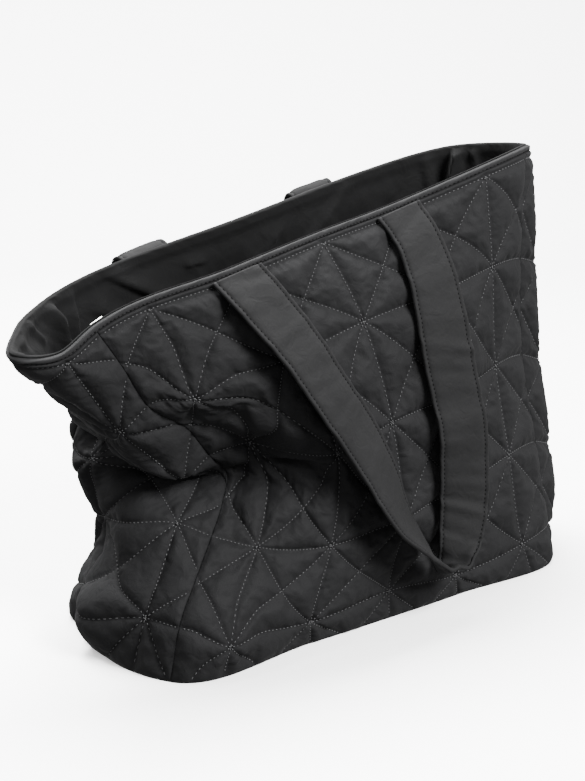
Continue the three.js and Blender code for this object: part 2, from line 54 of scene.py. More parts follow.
@dataclass(frozen=True)
class Cloth:
    """The bag's cloth sizes in metres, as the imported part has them."""

    width: float = 0.420
    depth: float = 0.160
    height: float = 0.355
    square: float = 0.080
    rim_margin: float = 0.005
    front_margin: float = 0.045
    gusset_margin: float = 0.032
    puff: float = 0.0045
    pad_wall: float = 0.005
    edge_wall: float = 0.002
    lining_wall: float = 0.0015
    lining_gap: float = 0.0009
    base_wall: float = 0.006
    foot_slack: float = 0.0015
    clearance: float = 0.0003

    @property
    def round(self) -> float:
        """Returns the cloth length once round the walls."""
        return 2 * (self.width + self.depth)


CLOTH = Cloth()


class Side(Enum):
    """A wall of the bag: its node, where it starts round the walls, its length and its first column."""

    FRONT = ("front_panel", 0.0, CLOTH.width, CLOTH.front_margin)
    RIGHT = ("right_gusset", CLOTH.width, CLOTH.depth, CLOTH.width + CLOTH.square / 2)
    BACK = ("back_panel", CLOTH.width + CLOTH.depth, CLOTH.width,
            CLOTH.round - CLOTH.depth - CLOTH.front_margin)
    LEFT = ("left_gusset", 2 * CLOTH.width + CLOTH.depth, CLOTH.depth, CLOTH.round - CLOTH.gusset_margin)

    def __init__(self, node: str, start: float, length: float, column: float) -> None:
        """Keeps the wall's node, start, length and first column.

        Args:
            node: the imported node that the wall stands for.
            start: cloth length from the front left seam to the wall's first seam.
            length: cloth length from that seam to the next.
            column: a column of the quilting, as a cloth length round the walls.
        """
        self.node = node
        self.start = start
        self.length = length
        self.column = column

    @property
    def end(self) -> float:
        """Returns where the wall's second seam is."""
        return self.start + self.length


# The walls' shape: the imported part's, with the back left rim lower and the crease under the overhang sharper

@dataclass(frozen=True)
class Row:
    """One row of an upright section: cloth length down and place, as shares of height, width and depth."""

    down: float
    x: float
    y: float
    z: float


@dataclass(frozen=True)
class Section:
    """An upright section of the walls: the wall it is on, how far along it, and its rows."""

    side: Side
    share: float
    rows: tuple[Row, ...]


@dataclass(frozen=True)
class Dent:
    """A dent or swell: place and half sizes as shares of width and height, push as a share of a square."""

    along: float
    down: float
    along_reach: float
    down_reach: float
    x: float
    y: float
    z: float


SECTIONS = (
    Section(Side.FRONT, 0.0, (
        Row(0.0, -0.552, -0.28, 0.744), Row(0.13, -0.51, -0.305, 0.665), Row(0.24, -0.464, -0.31, 0.577),
        Row(0.35, -0.381, -0.28, 0.51), Row(0.46, -0.319, -0.225, 0.43), Row(0.53, -0.264, -0.165, 0.367),
        Row(0.6, -0.3, -0.26, 0.32), Row(0.69, -0.35, -0.36, 0.273), Row(0.8, -0.41, -0.45, 0.203),
        Row(0.92, -0.462, -0.512, 0.118), Row(1.0, -0.474, -0.481, 0),
    )),
    Section(Side.FRONT, 0.298, (
        Row(0.0, -0.29, -0.375, 0.831), Row(0.24, -0.226, -0.5, 0.645), Row(0.36, -0.174, -0.575, 0.54),
        Row(0.46, -0.121, -0.55, 0.428), Row(0.57, -0.126, -0.575, 0.318), Row(0.69, -0.143, -0.58, 0.223),
        Row(0.92, -0.19, -0.58, 0.056), Row(1.0, -0.181, -0.545, 0),
    )),
    Section(Side.FRONT, 0.488, (
        Row(0.0, -0.112, -0.388, 0.879), Row(0.24, -0.055, -0.525, 0.699), Row(0.46, -0.005, -0.588, 0.476),
        Row(0.69, 0.021, -0.6, 0.248), Row(0.92, 0.002, -0.569, 0.068), Row(1.0, 0.01, -0.55, 0),
    )),
    Section(Side.FRONT, 0.679, (
        Row(0.0, 0.062, -0.388, 0.918), Row(0.24, 0.126, -0.513, 0.732), Row(0.46, 0.148, -0.569, 0.502),
        Row(0.69, 0.174, -0.581, 0.276), Row(0.92, 0.176, -0.569, 0.054), Row(1.0, 0.19, -0.544, 0),
    )),
    Section(Side.FRONT, 1.0, (
        Row(0.0, 0.398, -0.375, 1.008), Row(0.24, 0.39, -0.388, 0.763), Row(0.46, 0.41, -0.375, 0.53),
        Row(0.69, 0.445, -0.413, 0.304), Row(0.92, 0.476, -0.456, 0.079), Row(1.0, 0.483, -0.469, 0),
    )),
    Section(Side.RIGHT, 0.25, (
        Row(0.0, 0.471, -0.213, 1.0), Row(0.24, 0.469, -0.288, 0.738), Row(0.46, 0.5, -0.275, 0.496),
        Row(0.69, 0.536, -0.281, 0.268), Row(0.92, 0.529, -0.3, 0.062), Row(1.0, 0.5, -0.269, 0),
    )),
    Section(Side.RIGHT, 0.5, (
        Row(0.0, 0.495, 0, 0.992), Row(0.24, 0.514, 0, 0.744), Row(0.46, 0.543, 0.013, 0.513),
        Row(0.69, 0.567, 0.013, 0.282), Row(0.92, 0.543, 0, 0.073), Row(1.0, 0.493, 0, 0),
    )),
    Section(Side.BACK, 0.0, (
        Row(0.0, 0.443, 0.313, 0.975), Row(0.24, 0.452, 0.344, 0.738), Row(0.46, 0.471, 0.375, 0.507),
        Row(0.69, 0.481, 0.413, 0.282), Row(0.92, 0.486, 0.463, 0.073), Row(1.0, 0.476, 0.475, 0),
    )),
    Section(Side.BACK, 0.5, (
        Row(0.0, -0.086, 0.363, 0.862), Row(0.24, -0.038, 0.463, 0.67), Row(0.46, 0, 0.538, 0.456),
        Row(0.69, 0.019, 0.575, 0.248), Row(0.92, 0.01, 0.563, 0.073), Row(1.0, 0.005, 0.538, 0),
    )),
    Section(Side.LEFT, 0.0, (
        Row(0.0, -0.54, 0.268, 0.747), Row(0.13, -0.504, 0.305, 0.649), Row(0.24, -0.469, 0.338, 0.563),
        Row(0.3, -0.405, 0.32, 0.527), Row(0.4, -0.45, 0.382, 0.462), Row(0.69, -0.41, 0.41, 0.239),
        Row(0.8, -0.415, 0.425, 0.16), Row(0.92, -0.45, 0.455, 0.07), Row(1.0, -0.465, 0.478, 0),
    )),
    Section(Side.LEFT, 0.3, (
        Row(0.0, -0.63, 0.066, 0.729), Row(0.13, -0.563, 0.163, 0.627), Row(0.24, -0.51, 0.225, 0.546),
        Row(0.31, -0.486, 0.238, 0.496), Row(0.39, -0.41, 0.225, 0.451), Row(0.46, -0.452, 0.25, 0.4),
        Row(0.58, -0.447, 0.258, 0.318), Row(0.8, -0.432, 0.24, 0.19), Row(0.92, -0.49, 0.208, 0.105),
        Row(1.0, -0.49, 0.213, 0),
    )),
    Section(Side.LEFT, 0.5, (
        Row(0.0, -0.688, -0.14, 0.704), Row(0.13, -0.614, -0.025, 0.631), Row(0.24, -0.543, 0, 0.563),
        Row(0.35, -0.486, 0.019, 0.49), Row(0.42, -0.452, 0.025, 0.445), Row(0.5, -0.371, 0.038, 0.403),
        Row(0.57, -0.405, 0.013, 0.372), Row(0.69, -0.455, -0.025, 0.287), Row(0.8, -0.479, -0.025, 0.197),
        Row(0.92, -0.545, 0.013, 0.09), Row(1.0, -0.507, 0.031, 0),
    )),
    Section(Side.LEFT, 0.8, (
        Row(0.0, -0.614, -0.275, 0.7), Row(0.13, -0.567, -0.269, 0.62), Row(0.24, -0.505, -0.238, 0.524),
        Row(0.35, -0.438, -0.225, 0.451), Row(0.45, -0.376, -0.206, 0.389), Row(0.53, -0.3, -0.075, 0.366),
        Row(0.6, -0.329, -0.125, 0.335), Row(0.69, -0.395, -0.25, 0.299), Row(0.8, -0.448, -0.313, 0.211),
        Row(0.92, -0.49, -0.338, 0.121), Row(1.0, -0.505, -0.281, 0),
    )),
)

DENTS = (
    Dent(0.107, 0.465, 0.07, 0.06, 0.05, 0.14, 0),
    Dent(0.195, 0.496, 0.12, 0.034, 0, 0.11, 0.03),
    Dent(0.19, 0.488, 0.1, 0.014, 0, 0.13, 0.04),
    Dent(0.05, 0.512, 0.06, 0.022, 0.03, 0.12, 0),
    Dent(0.19, 0.4, 0.16, 0.055, 0, -0.1, -0.03),
    Dent(0.04, 0.6, 0.035, 0.12, 0.02, 0.08, 0),
    Dent(0.107, 0.24, 0.1, 0.12, 0, 0, -0.14),
    Dent(0.107, 0.915, 0.09, 0.09, 0, -0.04, -0.12),
    Dent(0.49, 0.7, 0.1, 0.12, 0, -0.06, 0),
    Dent(0.7, 0.35, 0.16, 0.16, 0, -0.06, 0),
)


def smooth(value: np.ndarray) -> np.ndarray:
    """Returns a smooth step from 0 to 1.

    Args:
        value: numbers, where 0 and less gives 0, and 1 and more gives 1.
    """
    t = np.clip(value, 0.0, 1.0)
    return t * t * (3 - 2 * t)


def unit(vectors: np.ndarray) -> np.ndarray:
    """Returns the vectors at length 1.

    Args:
        vectors: an array whose last axis holds x, y and z.
    """
    return vectors / np.maximum(np.linalg.norm(vectors, axis=-1, keepdims=True), 1e-12)


def curve_slopes(keys: np.ndarray, points: np.ndarray, period: float) -> np.ndarray:
    """Returns the slope at each key of a smooth curve through keyed points.

    Args:
        keys: the keys in rising order.
        points: one point, or row of points, for each key.
        period: the key's length of one turn of a closed curve, or 0.
    """
    if period:
        keys = np.concatenate([[keys[-1] - period], keys, [keys[0] + period]])
        points = np.concatenate([points[-1:], points, points[:1]])
    gaps = np.diff(keys).reshape((-1,) + (1,) * (points.ndim - 1))
    steps = np.diff(points, axis=0)
    before, after = gaps[:-1], gaps[1:]
    inner = (steps[:-1] * after / before + steps[1:] * before / after) / (before + after)
    if period:
        return inner
    return np.concatenate([steps[:1] / gaps[:1], inner, steps[-1:] / gaps[-1:]])


def curve(keys: np.ndarray, points: np.ndarray, at: np.ndarray, period: float = 0.0) -> np.ndarray:
    """Returns the places on a smooth curve through keyed points.

    Args:
        keys: the keys in rising order.
        points: one point for each key, or one row of points, with a point for each place asked for.
        at: the keys of the places asked for.
        period: the key's length of one turn of a closed curve, or 0.
    """
    slopes = curve_slopes(keys, points, period)
    if period:
        keys = np.append(keys, keys[0] + period)
        points = np.concatenate([points, points[:1]])
        slopes = np.concatenate([slopes, slopes[:1]])
    i = np.clip(np.searchsorted(keys, at, side="right") - 1, 0, len(keys) - 2)
    step = (keys[i + 1] - keys[i])[:, None]
    t = (at[:, None] - keys[i][:, None]) / step
    t2, t3 = t * t, t * t * t
    take = (lambda rows, k: rows[k, np.arange(len(at))]) if points.ndim == 3 else (lambda rows, k: rows[k])
    return (take(points, i) * (2 * t3 - 3 * t2 + 1) + take(slopes, i) * (t3 - 2 * t2 + t) * step
            + take(points, i + 1) * (3 * t2 - 2 * t3) + take(slopes, i + 1) * (t3 - t2) * step)


class Walls:
    """The walls' stitched surface: a place for each cloth length round and down."""

    def __init__(self, cloth: Cloth) -> None:
        """Works out the sections in metres.

        Args:
            cloth: the bag's cloth sizes.
        """
        self.cloth = cloth
        scale = np.array([cloth.width, cloth.depth, cloth.height])
        self.keys = np.array([s.side.start + s.share * s.side.length for s in SECTIONS])
        self.downs = [np.array([r.down for r in s.rows]) * cloth.height for s in SECTIONS]
        self.places = [np.array([[r.x, r.y, r.z] for r in s.rows]) * scale for s in SECTIONS]

    def place(self, around: np.ndarray, down: np.ndarray) -> np.ndarray:
        """Returns the places on the stitched surface.

        Args:
            around: cloth lengths round from the front left seam.
            down: cloth lengths down from the rim, one for each.
        """
        cloth = self.cloth
        s = np.mod(around, cloth.round)
        t = np.clip(down, 0.0, cloth.height)
        columns = np.stack([curve(keys, rows, t) for keys, rows in zip(self.downs, self.places)])
        points = curve(self.keys, columns, s, cloth.round)
        for d in DENTS:
            across = s / cloth.width - d.along
            across = np.where(across > 1, across - cloth.round / cloth.width, across)
            far = np.hypot(across / d.along_reach, (t / cloth.height - d.down) / d.down_reach)
            points = points + (1 - smooth(far))[:, None] * np.array([d.x, d.y, d.z]) * cloth.square
        points[:, 2] = np.maximum(points[:, 2], 0.0)
        return points

    def outward(self, around: np.ndarray, down: np.ndarray) -> np.ndarray:
        """Returns the outward directions of the walls.

        Args:
            around: cloth lengths round from the front left seam.
            down: cloth lengths down from the rim, one for each.
        """
        reach = self.cloth.square / 10
        low = np.minimum(down + reach, self.cloth.height - 1e-5)
        high = np.maximum(down - reach, 1e-5)
        along = self.place(around + reach, down) - self.place(around - reach, down)
        drop = self.place(around, low) - self.place(around, high)
        return unit(np.cross(drop, along))

    def under(self, around: np.ndarray, down: np.ndarray, depth: np.ndarray | float) -> np.ndarray:
        """Returns the places at a depth under the stitched surface, or over it where the depth is negative.

        Args:
            around: cloth lengths round from the front left seam.
            down: cloth lengths down from the rim, one for each.
            depth: how far inside the surface.
        """
        depths = np.broadcast_to(np.asarray(depth, float), around.shape)[:, None]
        points = self.place(around, down) - self.outward(around, down) * depths
        points[:, 2] = np.where(down >= self.cloth.height, 0.0, np.maximum(points[:, 2], 0.0))
        return points

    def wall(self, around: np.ndarray, down: np.ndarray) -> np.ndarray:
        """Returns the padded cloth's thickness, pressed flat at the rim and the seams.

        Args:
            around: cloth lengths round from the front left seam.
            down: cloth lengths down from the rim, one for each.
        """
        cloth = self.cloth
        s = np.mod(around, cloth.round)
        to_edge = np.array(down, float)
        for side in Side:
            to_edge = np.minimum(to_edge, np.minimum(np.abs(s - side.start), np.abs(s - side.end)))
        return cloth.edge_wall + (cloth.pad_wall - cloth.edge_wall) * smooth(to_edge / (cloth.square / 3))


WALLS = Walls(CLOTH)


# Finishes

@dataclass(frozen=True)
class Finish:
    """A cloth's or metal's look: its colour and gloss, and the depth and size of its weave and creases."""

    name: str
    colour: tuple[float, float, float]
    roughness: float = 0.6
    metallic: float = 0.0
    sheen: float = 0.008
    specular: float = 0.045
    weave: float = 0.0001
    weave_size: float = 0.0009
    crease: float = 0.0006
    crease_size: float = 0.010
    mottle: float = 0.18
    mottle_size: float = 1 / 24
    sheen_roughness: float = 0.45
    gloss_spread: float = 0.06

    def material(self) -> bpy.types.Material:
        """Returns the finish's node material, made once."""
        made = bpy.data.materials.get(self.name)
        if made:
            return made
        made = bpy.data.materials.new(self.name)
        made.use_nodes = True
        nodes, links = made.node_tree.nodes, made.node_tree.links
        shader = nodes["Principled BSDF"]
        shader.inputs["Metallic"].default_value = self.metallic
        shader.inputs["Specular IOR Level"].default_value = self.specular
        shader.inputs["Sheen Weight"].default_value = self.sheen
        shader.inputs["Sheen Roughness"].default_value = self.sheen_roughness
        place = nodes.new("ShaderNodeTexCoord")
        creases = self._noise(nodes, links, place, 1 / self.crease_size, 5.0, 0.7)
        weave = self._noise(nodes, links, place, 1 / self.weave_size, 2.0, 0.2)
        mottling = self._noise(nodes, links, place, 1 / self.mottle_size, 3.0, 0.3)
        self._colour(nodes, links, mottling, weave, shader)
        self._gloss(nodes, links, mottling, shader)
        folded = self._bump(nodes, links, creases, self.crease)
        woven = self._bump(nodes, links, weave, self.weave)
        links.new(folded.outputs["Normal"], woven.inputs["Normal"])
        links.new(woven.outputs["Normal"], shader.inputs["Normal"])
        return made

    @staticmethod
    def _noise(nodes: bpy.types.Nodes, links: bpy.types.NodeLinks, place: bpy.types.Node, scale: float,
               detail: float, distortion: float) -> bpy.types.Node:
        """Returns a noise node in the object's own metres.

        Args:
            nodes: the material's nodes.
            links: the material's links.
            place: the texture coordinate node.
            scale: the noise's cells to a metre.
            detail: how many finer layers it has.
            distortion: how much it winds.
        """
        noise = nodes.new("ShaderNodeTexNoise")
        noise.inputs["Scale"].default_value = scale
        noise.inputs["Detail"].default_value = detail
        noise.inputs["Distortion"].default_value = distortion
        links.new(place.outputs["Object"], noise.inputs["Vector"])
        return noise

    def _colour(self, nodes: bpy.types.Nodes, links: bpy.types.NodeLinks, mottling: bpy.types.Node,
                weave: bpy.types.Node, shader: bpy.types.Node) -> None:
        """Wires the colour, which the mottling and the weave vary.

        Args:
            nodes: the material's nodes.
            links: the material's links.
            mottling: the broad noise.
            weave: the fine noise.
            shader: the material's shader.
        """
        ramp = nodes.new("ShaderNodeValToRGB")
        ramp.color_ramp.elements[0].position = 0.3
        ramp.color_ramp.elements[1].position = 0.7
        ramp.color_ramp.elements[0].color = (*[c * (1 - self.mottle) for c in self.colour], 1)
        ramp.color_ramp.elements[1].color = (*[c * (1 + self.mottle) for c in self.colour], 1)
        both = nodes.new("ShaderNodeMath")
        both.operation = "MULTIPLY_ADD"
        both.inputs[1].default_value = 0.5
        links.new(mottling.outputs["Fac"], both.inputs[0])
        half = nodes.new("ShaderNodeMath")
        half.operation = "MULTIPLY"
        half.inputs[1].default_value = 0.5
        links.new(weave.outputs["Fac"], half.inputs[0])
        links.new(half.outputs[0], both.inputs[2])
        links.new(both.outputs[0], ramp.inputs["Fac"])
        links.new(ramp.outputs["Color"], shader.inputs["Base Color"])

    def _gloss(self, nodes: bpy.types.Nodes, links: bpy.types.NodeLinks, mottling: bpy.types.Node,
               shader: bpy.types.Node) -> None:
        """Wires the roughness, which the mottling varies.

        Args:
            nodes: the material's nodes.
            links: the material's links.
            mottling: the broad noise.
            shader: the material's shader.
        """
        spread = nodes.new("ShaderNodeMapRange")
        spread.inputs["To Min"].default_value = self.roughness - self.gloss_spread
        spread.inputs["To Max"].default_value = self.roughness + self.gloss_spread
        links.new(mottling.outputs["Fac"], spread.inputs["Value"])
        links.new(spread.outputs["Result"], shader.inputs["Roughness"])

    @staticmethod
    def _bump(nodes: bpy.types.Nodes, links: bpy.types.NodeLinks, height: bpy.types.Node,
              depth: float) -> bpy.types.Node:
        """Returns a bump node.

        Args:
            nodes: the material's nodes.
            links: the material's links.
            height: the noise that it raises.
            depth: how deep it is, in metres.
        """
        bump = nodes.new("ShaderNodeBump")
        bump.inputs["Strength"].default_value = 1.0
        bump.inputs["Distance"].default_value = depth
        links.new(height.outputs[0], bump.inputs["Height"])
        return bump


QUILT = Finish("quilted_nylon", (0.0078, 0.0078, 0.0081), roughness=0.72, crease=0.0014, crease_size=0.011)
LINING = Finish("lining_cloth", (0.0045, 0.0045, 0.0046), roughness=0.85, crease=0.0018, crease_size=0.018)
WEBBING = Finish("handle_cloth", (0.0088, 0.0088, 0.009), roughness=0.75, crease=0.0012, crease_size=0.012)
BINDING = Finish("binding_cloth", (0.0105, 0.0105, 0.0108), roughness=0.7, crease=0.0003, crease_size=0.006)
ZIP_CLOTH = Finish("zip_cloth", (0.004, 0.004, 0.0041), roughness=0.7, crease=0.0002, crease_size=0.005)
# The pads' thread is black; its pale colour here is a painted highlight, standing in for the light that the
# thread catches.
PAINTED_GLINT_THREAD = Finish("thread_painted_highlight", (0.036, 0.036, 0.037), roughness=0.5, specular=0.3,
                crease=0.00005, weave=0.00003)
DARK_THREAD = Finish("dark_thread", (0.0008, 0.0008, 0.0008), roughness=0.8, specular=0.02,
                     crease=0.00005, weave=0.00003)
STEEL = Finish("zip_steel", (0.5, 0.5, 0.48), roughness=0.3, metallic=1.0, crease=0.00002, weave=0.00001)


# Mesh helpers

def mesh_piece(name: str, points: np.ndarray, faces: list, finish: Finish,
               flat_from: int | None = None) -> bpy.types.Object:
    """Returns a new mesh object in the scene, smooth shaded, with its finish.

    Args:
        name: the piece's name.
        points: its vertices in metres.
        faces: lists of vertex numbers, seen anticlockwise from outside.
        finish: what it is made of.
        flat_from: the first face that is shaded flat, as all after it are.
    """
    mesh = bpy.data.meshes.new(name)
    mesh.from_pydata(np.asarray(points, float).tolist(), [], faces)
    soft = np.ones(len(mesh.polygons), bool)
    if flat_from is not None:
        soft[flat_from:] = False
    mesh.polygons.foreach_set("use_smooth", soft)
    mesh.update()
    mesh.materials.append(finish.material())
    piece = bpy.data.objects.new(name, mesh)
    bpy.context.scene.collection.objects.link(piece)
    log.info("%s: %d vertices, %d faces", name, len(points), len(faces))
    return piece


def grid_faces(rows: int, columns: int, first: int = 0, flip: bool = False, odd: int = 0) -> list:
    """Returns triangles of a grid whose cells are cut on alternate diagonals, as the quilting is.

    Args:
        rows: how many rows of vertices it has, going down.
        columns: how many columns, going right as seen from outside.
        first: the number of its first vertex.
        flip: whether it is seen from the other side.
        odd: 1 where the quilting starts on an odd cell, and else 0.
    """
    i, j = np.meshgrid(np.arange(rows - 1), np.arange(columns - 1), indexing="ij")
    a = first + (i * columns + j).ravel()
    b, c, d = a + 1, a + columns + 1, a + columns
    falling = ((i + j) % 2 == odd).ravel()[:, None]
    one = np.where(falling, np.stack([a, d, c], 1), np.stack([a, d, b], 1))
    two = np.where(falling, np.stack([a, c, b], 1), np.stack([b, d, c], 1))
    faces = np.concatenate([one, two])
    return (faces[:, ::-1] if flip else faces).tolist()


def ring_faces(rings: int, sides: int, first: int = 0, closed: bool = True, turn: bool = False) -> list:
    """Returns quads between rings of vertices.

    Args:
        rings: how many rings there are.
        sides: how many vertices each has.
        first: the number of the first vertex.
        closed: whether each ring closes on itself.
        turn: whether the last ring joins the first.
    """
    faces = []
    for i in range(rings if turn else rings - 1):
        for k in range(sides if closed else sides - 1):
            a = first + i * sides + k
            b = first + i * sides + (k + 1) % sides
            c = first + ((i + 1) % rings) * sides + (k + 1) % sides
            d = first + ((i + 1) % rings) * sides + k
            faces.append((a, b, c, d))
    return faces


def cloth_lines(start: float, end: float, through: float, step: float) -> np.ndarray:
    """Returns grid lines from one edge of the cloth to the other that fall on the quilting.

    Args:
        start: where the first edge is.
        end: where the second edge is.
        through: a line of the quilting.
        step: the distance between grid lines.
    """
    first = through - math.ceil((through - start) / step) * step
    lines = np.arange(first, end, step)
    inside = lines[(lines > start + step * 0.45) & (lines < end - step * 0.45)]
    return np.concatenate([[start], inside, [end]])


def halved(lines: np.ndarray) -> np.ndarray:
    """Returns the lines with one more in the middle of each gap.

    Args:
        lines: numbers in rising order.
    """
    out = np.empty(2 * len(lines) - 1)
    out[::2] = lines
    out[1::2] = (lines[1:] + lines[:-1]) / 2
    return out


class Wave:
    """Smooth seeded noise of one number, between about -1 and 1."""

    def __init__(self, seed: int, count: int = 4096) -> None:
        """Draws the noise's values.

        Args:
            seed: the random seed.
            count: how many values there are before it repeats.
        """
        self.values = np.random.default_rng(seed).uniform(-1, 1, count)

    def at(self, key: np.ndarray) -> np.ndarray:
        """Returns the noise at some keys, one value to each unit.

        Args:
            key: where it is read.
        """
        low = np.floor(key).astype(int)
        t = smooth(key - low)
        count = len(self.values)
        return self.values[low % count] * (1 - t) + self.values[(low + 1) % count] * t


# Stitching

@dataclass(frozen=True)
class Stitching:
    """Rows of thread stitches: their pitch, and each stitch's length and thickness, in metres."""

    pitch: float = 0.0036
    length: float = 0.0021
    radius: float = 0.0004
    lift: float = 0.0002

    def along(self, length: float) -> tuple[np.ndarray, np.ndarray]:
        """Returns where each stitch of a seam starts and ends.

        Args:
            length: the seam's length.
        """
        starts = np.arange(self.pitch / 2, length - self.length, self.pitch)
        return starts, starts + self.length

    def build(self, name: str, starts: np.ndarray, ends: np.ndarray, outs: np.ndarray,
              finish: Finish) -> bpy.types.Object:
        """Returns one object that holds all the stitches.

        Args:
            name: the object's name.
            starts: where each stitch starts.
            ends: where each ends.
            outs: the outward direction of the cloth there.
            finish: the thread.
        """
        axis = unit(ends - starts)
        side = unit(np.cross(axis, outs))
        rings = []
        for share in (0.25, 0.75):
            middle = starts * (1 - share) + ends * share + outs * self.lift
            rings += [middle + side * self.radius, middle + outs * self.radius,
                      middle - side * self.radius, middle - outs * self.radius]
        points = np.stack([starts - outs * self.lift, *rings, ends - outs * self.lift], axis=1).reshape(-1, 3)
        one = []
        for k in range(4):
            n = (k + 1) % 4
            one += [(0, 1 + n, 1 + k), (1 + k, 1 + n, 5 + n), (1 + k, 5 + n, 5 + k), (9, 5 + k, 5 + n)]
        faces = (np.array(one)[None] + 10 * np.arange(len(starts))[:, None, None]).reshape(-1, 3)
        return mesh_piece(name, points, faces.tolist(), finish)


# Quilted walls

@dataclass(frozen=True)
class Puffing:
    """How the padding fills the quilting: the simulation's settings, the relief after it and the seams."""

    steps: int = 24
    frames: int = 12
    mass: float = 0.005
    head_start: float = 0.6
    pressure: float = 400.0
    fullness: float = 0.03
    stiffness: float = 8.0
    bending: float = 0.02
    most_out: float = 0.0085
    most_in: float = 0.001
    groove: float = 0.0006
    groove_width: float = 0.0016
    pucker: float = 0.0015
    pucker_pitch: float = 0.0031
    pucker_reach: float = 0.0065
    pucker_start: float = 0.0025
    pucker_spread: float = 0.023
    pucker_seed: int = 11
    swell_seed: int = 31
    soft_edge: float = 0.004
    most_aside: float = 0.004
    rounding: float = 0.6
    rounding_passes: int = 2
    held_share: float = 0.2
    quality: int = 5
    damping: float = 2.0
    seam_margin: float = 0.002


class QuiltedPanel:
    """One quilted wall: a skin puffed between its stitch lines, closed behind, and its stitches."""

    BACK_STEP = 8
    LINE_SHIFT = 1.7

    def __init__(self, side: Side, walls: Walls, puffing: Puffing, stitching: Stitching) -> None:
        """Lays out the panel's grid.

        Args:
            side: which wall it is.
            walls: the walls' surface.
            puffing: how the padding fills it.
            stitching: the thread.
        """
        self.side = side
        self.walls = walls
        self.cloth = walls.cloth
        self.puffing = puffing
        self.stitching = stitching
        step = self.cloth.square / puffing.steps
        self.around = cloth_lines(side.start, side.end, side.column, step)
        self.down = cloth_lines(0.0, self.cloth.height, self.cloth.rim_margin + self.cloth.square, step)
        column = np.argmin(np.abs(self.around - side.column))
        row = np.argmin(np.abs(self.down - self.cloth.rim_margin))
        self.odd = int((column + row) % 2)

    def build(self) -> list[bpy.types.Object]:
        """Returns the panel and its stitches, placed and dressed."""
        offsets = self._simulated()
        around, down, offsets = self._refined(offsets)
        skin = self._skin(around, down, offsets)
        panel = self._closed(around, down, skin)
        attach(panel, BODY)
        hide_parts(self.side.node)
        thread = self._stitches()
        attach(thread, BODY)
        return [panel, thread]

    def _grid(self, around: np.ndarray, down: np.ndarray) -> tuple[np.ndarray, np.ndarray]:
        """Returns the cloth lengths of each point of a grid, rows first.

        Args:
            around: its columns.
            down: its rows.
        """
        v, u = np.meshgrid(down, around, indexing="ij")
        return u.ravel(), v.ravel()

    def _families(self, around: np.ndarray, down: np.ndarray) -> list[tuple[np.ndarray, np.ndarray]]:
        """Returns, for each of the four directions of stitch lines, the distance to the nearest line and how
        far along it a point lies.

        Args:
            around: cloth lengths round.
            down: cloth lengths down.
        """
        square = self.cloth.square
        a, b = around - self.side.column, down - self.cloth.rim_margin
        root = math.sqrt(2)
        found = []
        for across, along, shrink in ((a, b, 1), (b, a, 1), (a - b, a + b, root), (a + b, a - b, root)):
            line = np.round(across / square)
            found.append((np.abs(across - line * square) / shrink, along / shrink + line * self.LINE_SHIFT))
        return found

    def _to_stitches(self, around: np.ndarray, down: np.ndarray) -> np.ndarray:
        """Returns the distance to the nearest stitch line or edge of the panel.

        Args:
            around: cloth lengths round.
            down: cloth lengths down.
        """
        lines = [far for far, _ in self._families(around, down)]
        return np.minimum.reduce([*lines, self._to_edges(around, down)])

    def _to_edges(self, around: np.ndarray, down: np.ndarray) -> np.ndarray:
        """Returns the distance to the nearest edge of the panel.

        Args:
            around: cloth lengths round.
            down: cloth lengths down.
        """
        side, height = self.side, self.cloth.height
        return np.minimum.reduce([around - side.start, side.end - around, down, height - down])

    def _height(self, around: np.ndarray, down: np.ndarray) -> np.ndarray:
        """Returns a plain height for the pads between their stitch lines.

        Args:
            around: cloth lengths round.
            down: cloth lengths down.
        """
        crown = self.cloth.square * (math.sqrt(2) - 1) / 2
        share = np.clip(self._to_stitches(around, down) / crown, 0, 1)
        return self.cloth.puff * np.sqrt(1 - (1 - share) ** 2)

    def _simulated(self) -> np.ndarray:
        """Returns the pads' offsets from a cloth simulation, held at the stitches and blown up between."""
        puffing, (u, v) = self.puffing, self._grid(self.around, self.down)
        base = self.walls.place(u, v)
        out = self.walls.outward(u, v)
        held = self._to_stitches(u, v) < self.cloth.square / puffing.steps * puffing.held_share
        start = base + out * (self._height(u, v) * puffing.head_start)[:, None]
        faces = grid_faces(len(self.down), len(self.around), odd=self.odd)
        piece = mesh_piece(f"{self.side.node}_cloth", start, faces, QUILT)
        group = piece.vertex_groups.new(name="stitched")
        group.add(np.flatnonzero(held).tolist(), 1.0, "REPLACE")
        settings = piece.modifiers.new("Cloth", "CLOTH").settings
        settings.quality = puffing.quality
        settings.mass = puffing.mass
        settings.tension_stiffness = puffing.stiffness
        settings.compression_stiffness = puffing.stiffness
        settings.shear_stiffness = puffing.stiffness / 2
        settings.bending_stiffness = puffing.bending
        settings.air_damping = puffing.damping
        settings.vertex_group_mass = group.name
        settings.shrink_min = -puffing.fullness
        settings.use_pressure = True
        settings.uniform_pressure_force = puffing.pressure
        settings.effector_weights.gravity = 0.0
        scene = bpy.context.scene
        for number in range(1, puffing.frames + 1):
            scene.frame_set(number)
        shaped = piece.evaluated_get(bpy.context.evaluated_depsgraph_get())
        moved = np.empty(len(start) * 3)
        shaped.data.vertices.foreach_get("co", moved)
        scene.frame_set(1)
        bpy.data.objects.remove(piece, do_unlink=True)
        offset = moved.reshape(-1, 3) - base
        rise = np.sum(offset * out, axis=1)
        log.info("%s: pads rise %.1f mm at most", self.side.node, rise.max() / MM)
        capped = np.clip(rise, -puffing.most_in, puffing.most_out)
        aside = offset - out * rise[:, None]
        reach = np.linalg.norm(aside, axis=1, keepdims=True)
        aside = aside * np.minimum(1.0, puffing.most_aside / np.maximum(reach, 1e-9))
        return (aside + out * capped[:, None]).reshape(len(self.down), len(self.around), 3)

